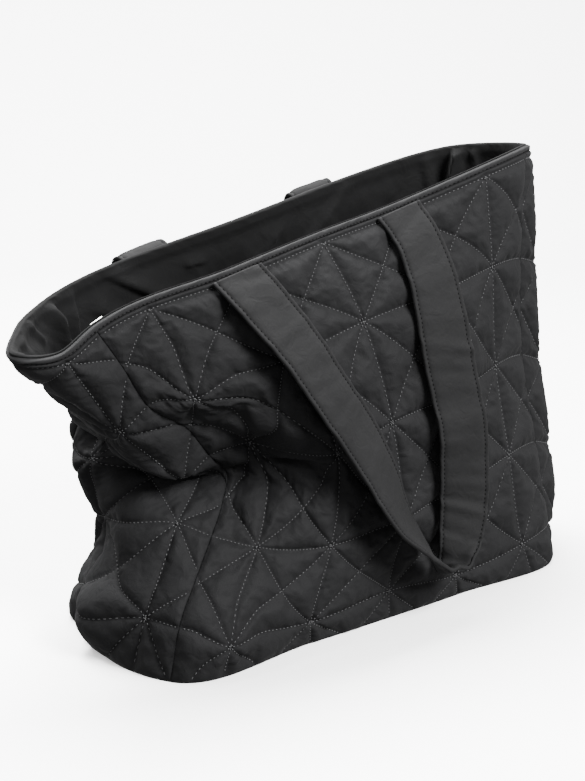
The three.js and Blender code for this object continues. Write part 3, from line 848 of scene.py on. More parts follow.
    def _refined(self, offsets: np.ndarray) -> tuple[np.ndarray, np.ndarray, np.ndarray]:
        """Returns the grid with each cell cut in four, and its offsets, rounded away from the stitches.

        Args:
            offsets: the offsets of the first grid.
        """
        rows, columns = offsets.shape[:2]
        fine = np.empty((2 * rows - 1, 2 * columns - 1, 3))
        fine[::2, ::2] = offsets
        fine[1::2, ::2] = (offsets[1:] + offsets[:-1]) / 2
        fine[::2, 1::2] = (offsets[:, 1:] + offsets[:, :-1]) / 2
        i, j = np.meshgrid(np.arange(rows - 1), np.arange(columns - 1), indexing="ij")
        falling = ((i + j) % 2 == self.odd)[..., None]
        down_right = (offsets[:-1, :-1] + offsets[1:, 1:]) / 2
        up_right = (offsets[1:, :-1] + offsets[:-1, 1:]) / 2
        fine[1::2, 1::2] = np.where(falling, down_right, up_right)
        around, down = halved(self.around), halved(self.down)
        u, v = self._grid(around, down)
        free = smooth(self._to_stitches(u, v) / self.puffing.soft_edge)
        free = free.reshape(fine.shape[:2])[1:-1, 1:-1, None]
        for _ in range(self.puffing.rounding_passes):
            mean = (fine[:-2, 1:-1] + fine[2:, 1:-1] + fine[1:-1, :-2] + fine[1:-1, 2:]) / 4
            fine[1:-1, 1:-1] += (mean - fine[1:-1, 1:-1]) * self.puffing.rounding * free
        return around, down, fine

    def _skin(self, around: np.ndarray, down: np.ndarray, offsets: np.ndarray) -> np.ndarray:
        """Returns the outer skin's places, with grooves at the stitch lines and puckers across them.

        Args:
            around: the grid's columns.
            down: its rows.
            offsets: how far the cloth stands off the stitched surface.
        """
        u, v = self._grid(around, down)
        puffing = self.puffing
        relief = np.zeros(len(u))
        for number, (far, along) in enumerate(self._families(u, v)):
            wave = Wave(puffing.pucker_seed + number).at(along / puffing.pucker_pitch)
            swell = np.abs(Wave(puffing.swell_seed + number).at((along + far) / puffing.pucker_spread))
            reach = np.exp(-far / puffing.pucker_reach) * smooth(far / puffing.pucker_start)
            relief += puffing.pucker * wave * swell * reach
            relief -= puffing.groove * np.exp(-(far / puffing.groove_width) ** 2)
        relief *= smooth(self._to_edges(u, v) / puffing.soft_edge)
        points = self.walls.place(u, v) + offsets.reshape(-1, 3) + self.walls.outward(u, v) * relief[:, None]
        reach = self.cloth.clearance
        along = unit(self.walls.place(u + reach, v) - self.walls.place(u - reach, v))
        inwards = (u == self.side.start).astype(float) - (u == self.side.end)
        points += along * (inwards * reach / 3)[:, None]
        points[:, 2] = np.where(v >= self.cloth.height, 0.0, np.maximum(points[:, 2], 0.0002))
        return points

    def _closed(self, around: np.ndarray, down: np.ndarray, skin: np.ndarray) -> bpy.types.Object:
        """Returns the panel: its skin, a coarser back and the edges between them.

        Args:
            around: the grid's columns.
            down: its rows.
            skin: the outer skin's places.
        """
        columns, rows = len(around), len(down)
        cols = sorted({*range(0, columns, self.BACK_STEP), columns - 1})
        lows = sorted({*range(0, rows, self.BACK_STEP), rows - 1})
        u, v = self._grid(around[cols], down[lows])
        back = self.walls.under(u, v, self.walls.wall(u, v))
        first, width = len(skin), len(cols)
        faces = grid_faces(rows, columns)
        flat_from = len(faces)
        faces += grid_faces(len(lows), width, first, flip=True)
        for k in range(width - 1):
            top = list(range(cols[k], cols[k + 1] + 1))
            faces.append(top + [first + k + 1, first + k])
            low = [(rows - 1) * columns + n for n in reversed(top)]
            corner = first + (len(lows) - 1) * width + k
            faces.append(low + [corner, corner + 1])
        for k in range(len(lows) - 1):
            left = [n * columns for n in range(lows[k + 1], lows[k] - 1, -1)]
            faces.append(left + [first + k * width, first + (k + 1) * width])
            right = [n * columns + columns - 1 for n in range(lows[k], lows[k + 1] + 1)]
            faces.append(right + [first + (k + 2) * width - 1, first + (k + 1) * width - 1])
        return mesh_piece(f"{self.side.node}_quilted", np.concatenate([skin, back]), faces, QUILT, flat_from)

    def _seams(self) -> list[tuple[float, float, float, float]]:
        """Returns the stitch lines as cloth lengths: round and down at the start, then at the end."""
        side, cloth, square = self.side, self.cloth, self.cloth.square
        margin, most = self.puffing.seam_margin, math.ceil(cloth.round / 2 / square)
        left, right, low = side.start + margin, side.end - margin, cloth.height - margin
        top = 2 * margin
        seams = []
        for k in range(-most, most + 1):
            column = side.column + k * square
            if left < column < right:
                seams.append((column, top, column, low))
            row = cloth.rim_margin + k * square
            if top <= row < low:
                seams.append((left, row, right, row))
        for k in range(-2 * most, 2 * most + 1):
            for lean in (1, -1):
                crossing = side.column - lean * cloth.rim_margin + k * square
                ends = sorted(((left - crossing) * lean, (right - crossing) * lean))
                high, deep = max(top, ends[0]), min(low, ends[1])
                if deep - high > 2 * margin:
                    seams.append((crossing + lean * high, high, crossing + lean * deep, deep))
        return seams

    def _stitches(self) -> bpy.types.Object:
        """Returns the panel's stitches, in the thread whose pale colour is a painted highlight."""
        places = []
        for u0, v0, u1, v1 in self._seams():
            length = math.hypot(u1 - u0, v1 - v0)
            for start, end in zip(*self.stitching.along(length)):
                shares = (start / length, end / length)
                places.append([[u0 + (u1 - u0) * t, v0 + (v1 - v0) * t] for t in shares])
        flat = np.array(places)
        sunk = self.puffing.groove * 0.6
        starts = self.walls.under(flat[:, 0, 0], flat[:, 0, 1], sunk)
        ends = self.walls.under(flat[:, 1, 0], flat[:, 1, 1], sunk)
        outs = self.walls.outward(flat.mean(axis=1)[:, 0], flat.mean(axis=1)[:, 1])
        # The pads' stitches take the thread whose pale colour is a painted highlight on black thread.
        return self.stitching.build(f"{self.side.node}_stitches", starts, ends, outs, PAINTED_GLINT_THREAD)


# Handles

@dataclass(frozen=True)
class StrapRow:
    """A place on a handle's outer edge, as shares of width, depth and height with y outwards from the pads,
    and the way across to its other edge as shares of the strap's width."""

    x: float
    y: float
    z: float
    across_x: float
    across_y: float
    across_z: float


class Handle(Enum):
    """A handle: its node, 1 for the back or -1 for the front, and its run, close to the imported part's."""

    FRONT = ("front_handle", -1, (
        StrapRow(-0.348, 0.358, 0.817, 0.97, 0.03, 0.23), StrapRow(-0.319, 0.466, 0.758, 0.92, -0.14, 0.36),
        StrapRow(-0.262, 0.597, 0.654, 0.84, -0.29, 0.46), StrapRow(-0.205, 0.672, 0.541, 0.79, -0.33, 0.51),
        StrapRow(-0.148, 0.7, 0.437, 0.72, -0.34, 0.6), StrapRow(-0.11, 0.738, 0.358, 0.7, -0.41, 0.58),
        StrapRow(-0.083, 0.772, 0.299, 0.74, -0.53, 0.42), StrapRow(-0.04, 0.791, 0.237, 0.62, -0.6, 0.15),
        StrapRow(0.026, 0.803, 0.175, 0.42, -0.62, -0.12), StrapRow(0.083, 0.797, 0.138, 0.04, -0.59, -0.2),
        StrapRow(0.129, 0.778, 0.135, -0.36, -0.52, -0.16), StrapRow(0.16, 0.753, 0.158, -0.64, -0.42, -0.15),
        StrapRow(0.186, 0.722, 0.208, -0.87, -0.32, 0), StrapRow(0.2, 0.691, 0.282, -1.0, -0.22, 0.04),
        StrapRow(0.194, 0.672, 0.434, -1.08, -0.12, 0.08), StrapRow(0.169, 0.634, 0.608, -1.08, -0.14, 0),
        StrapRow(0.154, 0.559, 0.761, -1.04, -0.09, -0.02), StrapRow(0.137, 0.472, 0.862, -0.99, -0.06, -0.1),
        StrapRow(0.112, 0.38, 0.935, -0.96, 0, -0.24),
    ))
    BACK = ("back_handle", 1, (
        StrapRow(-0.329, 0.41, 0.779, 0.97, 0, 0.23), StrapRow(-0.33, 0.425, 0.797, 0.97, 0, 0.23),
        StrapRow(-0.334, 0.466, 0.804, 0.97, 0, 0.23), StrapRow(-0.334, 0.509, 0.784, 0.97, 0, 0.25),
        StrapRow(-0.314, 0.553, 0.704, 0.95, -0.05, 0.31), StrapRow(-0.25, 0.631, 0.535, 0.87, -0.16, 0.45),
        StrapRow(-0.167, 0.7, 0.366, 0.75, -0.32, 0.55), StrapRow(-0.095, 0.747, 0.239, 0.76, -0.42, 0.45),
        StrapRow(-0.012, 0.784, 0.161, 0.58, -0.52, 0.1), StrapRow(0.071, 0.784, 0.132, 0.02, -0.53, -0.25),
        StrapRow(0.148, 0.753, 0.175, -0.62, -0.42, -0.1), StrapRow(0.186, 0.709, 0.31, -0.97, -0.22, 0),
        StrapRow(0.186, 0.672, 0.493, -0.99, -0.1, 0.05), StrapRow(0.179, 0.622, 0.69, -0.99, -0.03, -0.02),
        StrapRow(0.178, 0.566, 0.834, -0.98, 0, -0.15), StrapRow(0.175, 0.522, 0.897, -0.97, 0, -0.22),
        StrapRow(0.172, 0.478, 0.923, -0.97, 0, -0.23), StrapRow(0.174, 0.438, 0.918, -0.97, 0, -0.23),
        StrapRow(0.175, 0.396, 0.887, -0.97, 0, -0.23),
    ))

    def __init__(self, node: str, out: int, rows: tuple[StrapRow, ...]) -> None:
        """Keeps the handle's node, side and run.

        Args:
            node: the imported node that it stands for.
            out: 1 for the back of the bag, -1 for the front.
            rows: its run.
        """
        self.node = node
        self.out = out
        self.rows = rows


@dataclass(frozen=True)
class StrapSizes:
    """A handle strap's sizes in metres, and its creases, which grow towards the bottom of the loop."""

    width: float = 0.044
    wall: float = 0.003
    rounding: float = 0.0014
    seam_inset: float = 0.0035
    groove: float = 0.0008
    groove_width: float = 0.0009
    pillow: float = 0.0007
    stations: int = 380
    lines: tuple[float, ...] = (
        0.0, 0.0003, 0.0008, 0.0015, 0.0023, 0.0029, 0.0035, 0.0041, 0.0047, 0.006, 0.0085, 0.012, 0.0155,
        0.019, 0.022,
    )
    creases: tuple[tuple[float, float], ...] = (
        (0.0, 0.0004), (0.1, 0.0008), (0.3, 0.001), (0.42, 0.0014), (0.5, 0.0024), (0.62, 0.003),
        (0.72, 0.0028), (0.8, 0.002), (0.92, 0.0011), (1.0, 0.0004),
    )
    crease_pitch: float = 0.0072
    lean: float = 0.012
    lean_pitch: float = 0.05
    broad_pitch: float = 0.034
    broad_slant: float = 0.008
    side_pitch: float = 0.021
    side_slant: float = 2.3
    pillow_reach: float = 0.006
    crease_seed: int = 40


class Strap:
    """One handle: a flat stitched strap swept along its run, creased where it bends."""

    def __init__(self, handle: Handle, cloth: Cloth, sizes: StrapSizes, stitching: Stitching) -> None:
        """Works out the strap's stations.

        Args:
            handle: which handle it is.
            cloth: the bag's cloth sizes.
            sizes: the strap's sizes.
            stitching: its thread.
        """
        self.handle = handle
        self.sizes = sizes
        self.stitching = stitching
        rows, out = handle.rows, handle.out
        keys = np.linspace(0, 1, len(rows))
        edge = np.array([[r.x * cloth.width, out * (r.y * cloth.depth + cloth.puff), r.z * cloth.height]
                         for r in rows])
        across = np.array([[r.across_x, out * r.across_y, r.across_z] for r in rows])
        at = np.linspace(0, 1, sizes.stations)
        self.at = at
        self.edge = curve(keys, edge, at)
        self.across = curve(keys, across, at) * sizes.width
        forward = np.gradient(self.edge, axis=0)
        self.face = unit(np.cross(forward, self.across)) * -out
        middle = self.edge + self.across / 2
        steps = np.linalg.norm(np.diff(middle, axis=0), axis=1)
        self.along = np.concatenate([[0.0], np.cumsum(steps)])

    def build(self) -> list[bpy.types.Object]:
        """Returns the strap and its stitches, placed and dressed."""
        strap = self._band()
        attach(strap, BODY)
        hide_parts(self.handle.node)
        thread = self._stitches()
        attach(thread, BODY)
        return [strap, thread]

    def _crease(self, at: np.ndarray, along: np.ndarray, share: np.ndarray) -> np.ndarray:
        """Returns how far the strap is pushed out of its own plane.

        Args:
            at: shares of the run.
            along: lengths along the strap.
            share: shares of the way across it.
        """
        sizes = self.sizes
        rows = np.array(sizes.creases)
        depth = np.interp(at, rows[:, 0], rows[:, 1])
        seed = sizes.crease_seed + 10 * self.handle.out
        lean = Wave(seed).at(along / sizes.lean_pitch) * sizes.lean
        fine = Wave(seed + 1).at((along + lean * (share - 0.5) * 2) / sizes.crease_pitch)
        broad = Wave(seed + 2).at((along + share * sizes.broad_slant) / sizes.broad_pitch)
        side = Wave(seed + 3).at(along / sizes.side_pitch + share * sizes.side_slant)
        return depth * (fine * (0.6 + 0.4 * side) + broad * 0.9)

    def _place(self, number: np.ndarray, share: np.ndarray, rise: np.ndarray) -> np.ndarray:
        """Returns places on or off the strap's middle surface.

        Args:
            number: which station, whole or between two.
            share: shares of the way across.
            rise: heights towards the face.
        """
        low = np.clip(np.floor(number).astype(int), 0, self.sizes.stations - 2)
        t = (number - low)[:, None]
        mix = lambda rows: rows[low] * (1 - t) + rows[low + 1] * t
        at = np.interp(number, np.arange(self.sizes.stations), self.at)
        along = np.interp(number, np.arange(self.sizes.stations), self.along)
        height = rise + self._crease(at, along, share)
        return mix(self.edge) + mix(self.across) * share[:, None] + unit(mix(self.face)) * height[:, None]

    def _rise(self, share: np.ndarray) -> np.ndarray:
        """Returns half the strap's thickness at a share of the way across, with its stitched grooves.

        Args:
            share: shares of the way across.
        """
        sizes = self.sizes
        to_edge = np.minimum(share, 1 - share) * sizes.width
        t = np.clip(to_edge / sizes.rounding, 0, 1)
        half = sizes.wall / 2 * np.sqrt(np.maximum(1 - (1 - t) ** 2, 0.02))
        groove = sizes.groove * np.exp(-((to_edge - sizes.seam_inset) / sizes.groove_width) ** 2)
        pillow = sizes.pillow * smooth((to_edge - sizes.seam_inset) / sizes.pillow_reach)
        return half - groove + pillow

    def _band(self) -> bpy.types.Object:
        """Returns the strap's mesh."""
        sizes = self.sizes
        half = np.array(sizes.lines) / sizes.width
        share = np.concatenate([half, 1 - half[-2::-1]])
        ring = np.concatenate([share, share[-2:0:-1]])
        facing = np.concatenate([np.ones(len(share)), -np.ones(len(share) - 2)])
        facing[[0, len(share) - 1]] = 0
        rise = self._rise(ring) * facing
        count = len(ring)
        number = np.repeat(np.arange(sizes.stations), count).astype(float)
        points = self._place(number, np.tile(ring, sizes.stations), np.tile(rise, sizes.stations))
        faces = ring_faces(sizes.stations, count)
        faces.append(tuple(range(count - 1, -1, -1)))
        faces.append(tuple((sizes.stations - 1) * count + k for k in range(count)))
        if self.handle.out > 0:
            faces = [tuple(reversed(f)) for f in faces]
        return mesh_piece(f"{self.handle.node}_strap", points, faces, WEBBING)

    def _stitches(self) -> bpy.types.Object:
        """Returns the two rows of stitches on each face."""
        starts, ends, outs = [], [], []
        inset, stations = self.sizes.seam_inset / self.sizes.width, self.sizes.stations
        first, last = self.stitching.along(float(self.along[-1]))
        numbers = [np.interp(a, self.along, np.arange(stations)) for a in (first, last)]
        faces = self.face[np.clip(numbers[0].astype(int), 0, stations - 1)]
        for share in (inset, 1 - inset):
            for facing in (1, -1):
                shares = np.full(len(first), share)
                rise = self._rise(shares) * facing
                starts.append(self._place(numbers[0], shares, rise))
                ends.append(self._place(numbers[1], shares, rise))
                outs.append(faces * facing)
        return self.stitching.build(f"{self.handle.node}_stitches", np.concatenate(starts),
                                    np.concatenate(ends), np.concatenate(outs), DARK_THREAD)


# Rim binding

@dataclass(frozen=True)
class BindingSizes:
    """The rim binding's sizes in metres, and the angle in its section where its seam is."""

    height: float = 0.0045
    lip: float = 0.0006
    rounding: float = 0.6
    step: float = 0.0025
    sides: int = 28
    ripple: float = 0.00035
    ripple_pitch: float = 0.006
    seam_turn: float = 0.42
    seam_reach: float = 0.16
    seam_depth: float = 0.0005
    ripple_seed: int = 71


class RimBinding:
    """The rolled strip on the rim, with its row of stitches outside."""

    def __init__(self, walls: Walls, sizes: BindingSizes, stitching: Stitching) -> None:
        """Keeps what the binding is worked out from.

        Args:
            walls: the walls' surface.
            sizes: the binding's sizes.
            stitching: its thread.
        """
        self.walls = walls
        self.sizes = sizes
        self.stitching = stitching
        cloth = walls.cloth
        self.cloth_wall = cloth.edge_wall + cloth.lining_gap + cloth.lining_wall

    def build(self) -> list[bpy.types.Object]:
        """Returns the binding and its stitches, placed and dressed."""
        count = int(self.walls.cloth.round / self.sizes.step)
        around = np.arange(count) * self.walls.cloth.round / count
        turn = np.linspace(0, 2 * math.pi, self.sizes.sides, endpoint=False)
        rings = np.stack([self.ring(around, t) for t in turn], axis=1)
        binding = mesh_piece("rim_binding_roll", rings.reshape(-1, 3),
                             ring_faces(count, len(turn), turn=True), BINDING)
        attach(binding, BODY)
        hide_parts("rim_binding")
        thread = self._stitches()
        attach(thread, BODY)
        return [binding, thread]

    def ring(self, around: np.ndarray, turn: float, grow: float = 0.0) -> np.ndarray:
        """Returns the places at one turn of the rounded section, all round the rim.

        Args:
            around: cloth lengths round the rim.
            turn: the angle in the section: 0 is outwards, a quarter turn is down.
            grow: how far the places stand off the binding.
        """
        sizes = self.sizes
        zero = np.zeros(len(around))
        out = self.walls.outward(around, zero)
        drop = unit(self.walls.place(around, zero + 0.005) - self.walls.place(around, zero))
        seam = sizes.seam_depth * math.exp(-((turn - sizes.seam_turn) / sizes.seam_reach) ** 2)
        ripple = sizes.ripple * Wave(sizes.ripple_seed).at(around / sizes.ripple_pitch + 2 * math.sin(turn))
        side, fall = math.cos(turn), math.sin(turn)
        half = self.cloth_wall / 2 + sizes.lip - seam + grow
        across = math.copysign(abs(side) ** sizes.rounding, side) * half
        deep = math.copysign(abs(fall) ** sizes.rounding, fall) * (sizes.height / 2 + grow)
        middle = self.walls.under(around, zero, self.cloth_wall / 2)
        middle -= drop * (self.walls.cloth.clearance + sizes.height / 2)
        return middle + out * (across + ripple * abs(side))[:, None] + drop * deep

    def _stitches(self) -> bpy.types.Object:
        """Returns the binding's stitches."""
        first, last = self.stitching.along(self.walls.cloth.round)
        starts, ends = (self.ring(at, self.sizes.seam_turn) for at in (first, last))
        outs = self.walls.outward(first, first * 0)
        return self.stitching.build("rim_binding_stitches", starts, ends, outs, DARK_THREAD)


# Lining

@dataclass(frozen=True)
class Fold:
    """A soft fold of the lining, in cloth metres: its two ends as lengths round and down, how wide it is on
    either side and how far it stands in."""

    start: tuple[float, float]
    end: tuple[float, float]
    left: float
    right: float
    height: float


@dataclass(frozen=True)
class LiningSizes:
    """The lining's sizes in metres and its folds."""

    step: float = 0.003
    facing: float = 0.055
    facing_step: float = 0.0009
    crease: float = 0.0012
    roll: float = 0.0009
    roll_turns: tuple[float, ...] = (4.65, 4.45, 4.2, 3.95, 3.7, 3.45, 3.2)
    foot: float = 0.010
    floor_rows: int = 12
    floor_share: float = 0.98
    roll_reach: float = 0.010
    crease_reach: float = 0.02
    broad_pitch: float = 0.013
    fine_pitch: float = 0.006
    broad_slant: float = 40.0
    fine_slant: float = 60.0
    crease_seed: int = 91
    stitch_inset: float = 0.003
    folds: tuple[Fold, ...] = (
        Fold((0.700, 0.004), (0.745, 0.048), 0.003, 0.014, 0.0045),
        Fold((0.760, 0.020), (0.790, 0.052), 0.012, 0.003, 0.0030),
        Fold((0.850, 0.019), (0.832, 0.022), 0.003, 0.007, 0.0026),
        Fold((0.918, 0.006), (0.868, 0.054), 0.003, 0.012, 0.0050),
        Fold((0.945, 0.030), (0.905, 0.060), 0.004, 0.011, 0.0035),
        Fold((0.968, 0.004), (0.978, 0.045), 0.007, 0.003, 0.0030),
        Fold((1.000, 0.004), (1.006, 0.060), 0.008, 0.003, 0.0110),
        Fold((1.040, 0.001), (1.036, 0.022), 0.004, 0.003, 0.0026),
        Fold((1.062, 0.001), (1.066, 0.018), 0.003, 0.005, 0.0022),
        Fold((1.090, 0.002), (1.084, 0.026), 0.004, 0.003, 0.0026),
        Fold((0.616, 0.004), (0.604, 0.050), 0.003, 0.012, 0.0035),
        Fold((0.573, -0.002), (0.583, 0.030), 0.003, 0.010, 0.0140),
        Fold((0.548, 0.002), (0.540, 0.020), 0.004, 0.005, 0.0035),
    )


class Lining:
    """The lining: a thin cloth bag inside the walls, rolled over the rim, with a facing and soft folds."""

    def __init__(self, walls: Walls, binding: RimBinding, sizes: LiningSizes, stitching: Stitching) -> None:
        """Lays out the lining's grid.

        Args:
            walls: the walls' surface.
            binding: the rim binding that the facing rolls over.
            sizes: the lining's sizes.
            stitching: its thread.
        """
        self.walls = walls
        self.binding = binding
        self.sizes = sizes
        self.stitching = stitching
        cloth = walls.cloth
        self.columns = int(cloth.round / sizes.step)
        self.around = np.arange(self.columns) * cloth.round / self.columns
        facing = np.arange(0, sizes.facing, sizes.step * 0.7)
        rest = np.linspace(sizes.facing, cloth.height - sizes.foot, int(cloth.height / sizes.step / 1.6))
        self.down = np.concatenate([facing, rest])

    def build(self) -> list[bpy.types.Object]:
        """Returns the lining and the facing's stitches, placed and dressed."""
        inner, outer = self._bag(1.0), self._bag(0.0)
        count, rows = self.columns, len(inner) // self.columns
        first = len(inner)
        inside = [tuple(reversed(f)) for f in ring_faces(rows, count)]
        outside = ring_faces(rows, count, first)
        rim = [(k, (k + 1) % count, first + (k + 1) % count, first + k) for k in range(count)]
        floor = [tuple((rows - 1) * count + k for k in range(count - 1, -1, -1)),
                 tuple(first + (rows - 1) * count + k for k in range(count))]
        faces = inside + outside + rim + floor
        lining = mesh_piece("lining_bag", np.concatenate([inner, outer]), faces, LINING)
        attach(lining, BODY)
        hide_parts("lining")
        thread = self._stitches()
        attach(thread, BODY)
        return [lining, thread]

    def inward(self, around: np.ndarray, down: np.ndarray) -> np.ndarray:
        """Returns how far the lining stands in from where it hangs flat: its facing, creases and folds.

        Args:
            around: cloth lengths round.
            down: cloth lengths down.
        """
        sizes, round_it = self.sizes, self.walls.cloth.round
        inward = sizes.facing_step * smooth((sizes.facing - down) / 0.002)
        broad = Wave(sizes.crease_seed).at(around / sizes.broad_pitch + down * sizes.broad_slant)
        fine = Wave(sizes.crease_seed + 1).at(around / sizes.fine_pitch - down * sizes.fine_slant)
        inward = inward + sizes.crease * np.abs(broad + fine * 0.5) * smooth(down / sizes.crease_reach)
        for fold in sizes.folds:
            run = np.array(fold.end) - np.array(fold.start)
            length = math.hypot(*run)
            ahead = run / length
            across = np.mod(around - fold.start[0] + round_it / 2, round_it) - round_it / 2
            deep = down - fold.start[1]
            along = (across * ahead[0] + deep * ahead[1]) / length
            side = -across * ahead[1] + deep * ahead[0]
            width = np.where(side < 0, fold.left, fold.right)
            taper = smooth((along + 0.25) / 0.4) * smooth((1.25 - along) / 0.5)
            inward = inward + fold.height * np.exp(-(side / width) ** 2) * taper
        return inward

    def depth(self, around: np.ndarray, down: np.ndarray, side: float = 1.0) -> np.ndarray:
        """Returns how deep inside the stitched surface the lining lies.

        Args:
            around: cloth lengths round.
            down: cloth lengths down.
            side: 1 for the face inside the bag, 0 for the one against the walls.
        """
        cloth, sizes = self.walls.cloth, self.sizes
        over_rim = self.binding.sizes.lip + cloth.clearance / 2 + sizes.roll * side
        rolled = over_rim * (1 - smooth(down / sizes.roll_reach))
        flat = self.walls.wall(around, down) + cloth.lining_gap + cloth.lining_wall * side
        return flat + rolled + self.inward(around, down)

    def _bag(self, side: float) -> np.ndarray:
        """Returns one face of the lining: rolled over the rim, down the walls and then its floor.

        Args:
            side: 1 for the face inside the bag, 0 for the one against the walls.
        """
        cloth, walls, sizes = self.walls.cloth, self.walls, self.sizes
        grow = cloth.clearance / 2 + sizes.roll * side
        roll = [self.binding.ring(self.around, turn, grow) for turn in sizes.roll_turns]
        v, u = np.meshgrid(self.down, self.around, indexing="ij")
        u, v = u.ravel(), v.ravel()
        sides = walls.under(u, v, self.depth(u, v, side)).reshape(len(self.down), self.columns, 3)
        level = cloth.base_wall + cloth.clearance + cloth.lining_wall * side
        sides[:, :, 2] = np.maximum(sides[:, :, 2], level)
        low = sides[-1].copy()
        middle = low.mean(axis=0)
        rows = []
        for k in range(1, sizes.floor_rows + 1):
            share = (k / sizes.floor_rows) * sizes.floor_share
            ring = low * (1 - share) + middle * share
            ring[:, 2] = level + (low[:, 2] - level) * (1 - smooth(np.array(share * 6)))
            rows.append(ring)
        return np.concatenate([*roll, sides.reshape(-1, 3), *rows])

    def _stitches(self) -> bpy.types.Object:
        """Returns the row of stitches at the foot of the facing."""
        first, last = self.stitching.along(self.walls.cloth.round)
        down = np.full(len(first), self.sizes.facing - self.sizes.stitch_inset)
        starts, ends = (self.walls.under(at, down, self.depth(at, down)) for at in (first, last))
        outs = -self.walls.outward(first, down)
        return self.stitching.build("lining_stitches", starts, ends, outs, DARK_THREAD)


# Base

@dataclass(frozen=True)
class BaseSizes:
    """The padded base's sizes in metres."""

    above: float = 0.010
    step: float = 0.005
    rings: int = 16
    rounding: float = 0.0015
    groove: float = 0.0009
    groove_width: float = 0.003
    quilted_share: float = 0.97


class Base:
    """The padded base inside the foot of the walls, with its quilting on the underside."""

    def __init__(self, walls: Walls, sizes: BaseSizes) -> None:
        """Keeps what the base is worked out from.

        Args:
            walls: the walls' surface.
            sizes: the base's sizes.
        """
        self.walls = walls
        self.sizes = sizes

    def build(self) -> bpy.types.Object:
        """Returns the base, placed and dressed."""
        cloth, sizes = self.walls.cloth, self.sizes
        count = int(cloth.round / sizes.step)
        rings = []
        for share, height in self._section():
            outline = self._outline(count, height)
            middle = outline.mean(axis=0)
            ring = outline * share + middle * (1 - share)
            below = height < cloth.base_wall / 2 and share < sizes.quilted_share
            ring[:, 2] = height + (self._groove(ring) if below else 0.0)
            rings.append(ring)
        faces = ring_faces(len(rings), count)
        faces.append(tuple(range(count - 1, -1, -1)))
        faces.append(tuple((len(rings) - 1) * count + k for k in range(count)))
        faces = [tuple(reversed(f)) for f in faces]
        base = mesh_piece("bottom_panel_quilted", np.concatenate(rings), faces, QUILT)
        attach(base, BODY)
        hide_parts("bottom_panel")
        return base

    def _section(self) -> list[tuple[float, float]]:
        """Returns the base's section from the middle below, round its edge, to the middle above."""
        sizes, wall = self.sizes, self.walls.cloth.base_wall
        inner = np.linspace(0.02, 0.975, sizes.rings)
        edge = [(0.99, 0.0), (0.998, sizes.rounding / 3), (1.0, sizes.rounding), (1.0, wall - sizes.rounding),
                (0.99, wall)]
        return [(s, 0.0) for s in inner] + edge + [(s, wall) for s in inner[::-3]]

    def _outline(self, count: int, height: float) -> np.ndarray:
        """Returns the outline inside the walls' foot at a height.

        Args:
            count: how many points it has.
            height: the height above the floor.
        """
        cloth, walls = self.walls.cloth, self.walls
        around = np.arange(count) * cloth.round / count
        low_down, high_down = np.full(count, cloth.height), np.full(count, cloth.height - self.sizes.above)
        low = walls.under(around, low_down, walls.wall(around, low_down) + cloth.foot_slack)
        high = walls.under(around, high_down, walls.wall(around, high_down) + cloth.foot_slack)
        share = (height / high[:, 2])[:, None]
        return low * (1 - share) + high * share

    def _groove(self, points: np.ndarray) -> np.ndarray:
        """Returns how far the underside is drawn up along its square and diagonal stitching.

        Args:
            points: places on the underside.
        """
        square, sizes = self.walls.cloth.square, self.sizes
        x, y = points[:, 0], points[:, 1]
        lift = np.zeros(len(points))
        for across, pitch in ((x, square), (y, square), ((x - y) / math.sqrt(2), square / math.sqrt(2)),
                              ((x + y) / math.sqrt(2), square / math.sqrt(2))):
            far = np.abs(across - np.round(across / pitch) * pitch)
            lift = np.maximum(lift, sizes.groove * np.exp(-(far / sizes.groove_width) ** 2))
        return lift


# Zip

@dataclass(frozen=True)
class ZipSizes:
    """The zip's sizes in metres, how finely its cord is made, and how far the slider sags and slides."""

    width: float = 0.014
    wall: float = 0.0012
    drop: float = 0.007
    first: float = 0.006
    last: float = 0.384
    tooth: float = 0.0016
    tooth_pitch: float = 0.0022
    slider_along: float = 0.004
    slider_length: float = 0.011
    slider_height: float = 0.009
    slider_wall: float = 0.004
    puller_length: float = 0.017
    puller_width: float = 0.005
    cord: float = 0.0008
    cord_steps: int = 48
    cord_sides: int = 10
    crimp_along: float = 0.0035
    crimp_length: float = 0.0028
    crimp_wall: float = 0.0026
    crimp_bevel: float = 0.0008
    sag: float = 0.0025
    slid: float = 0.003


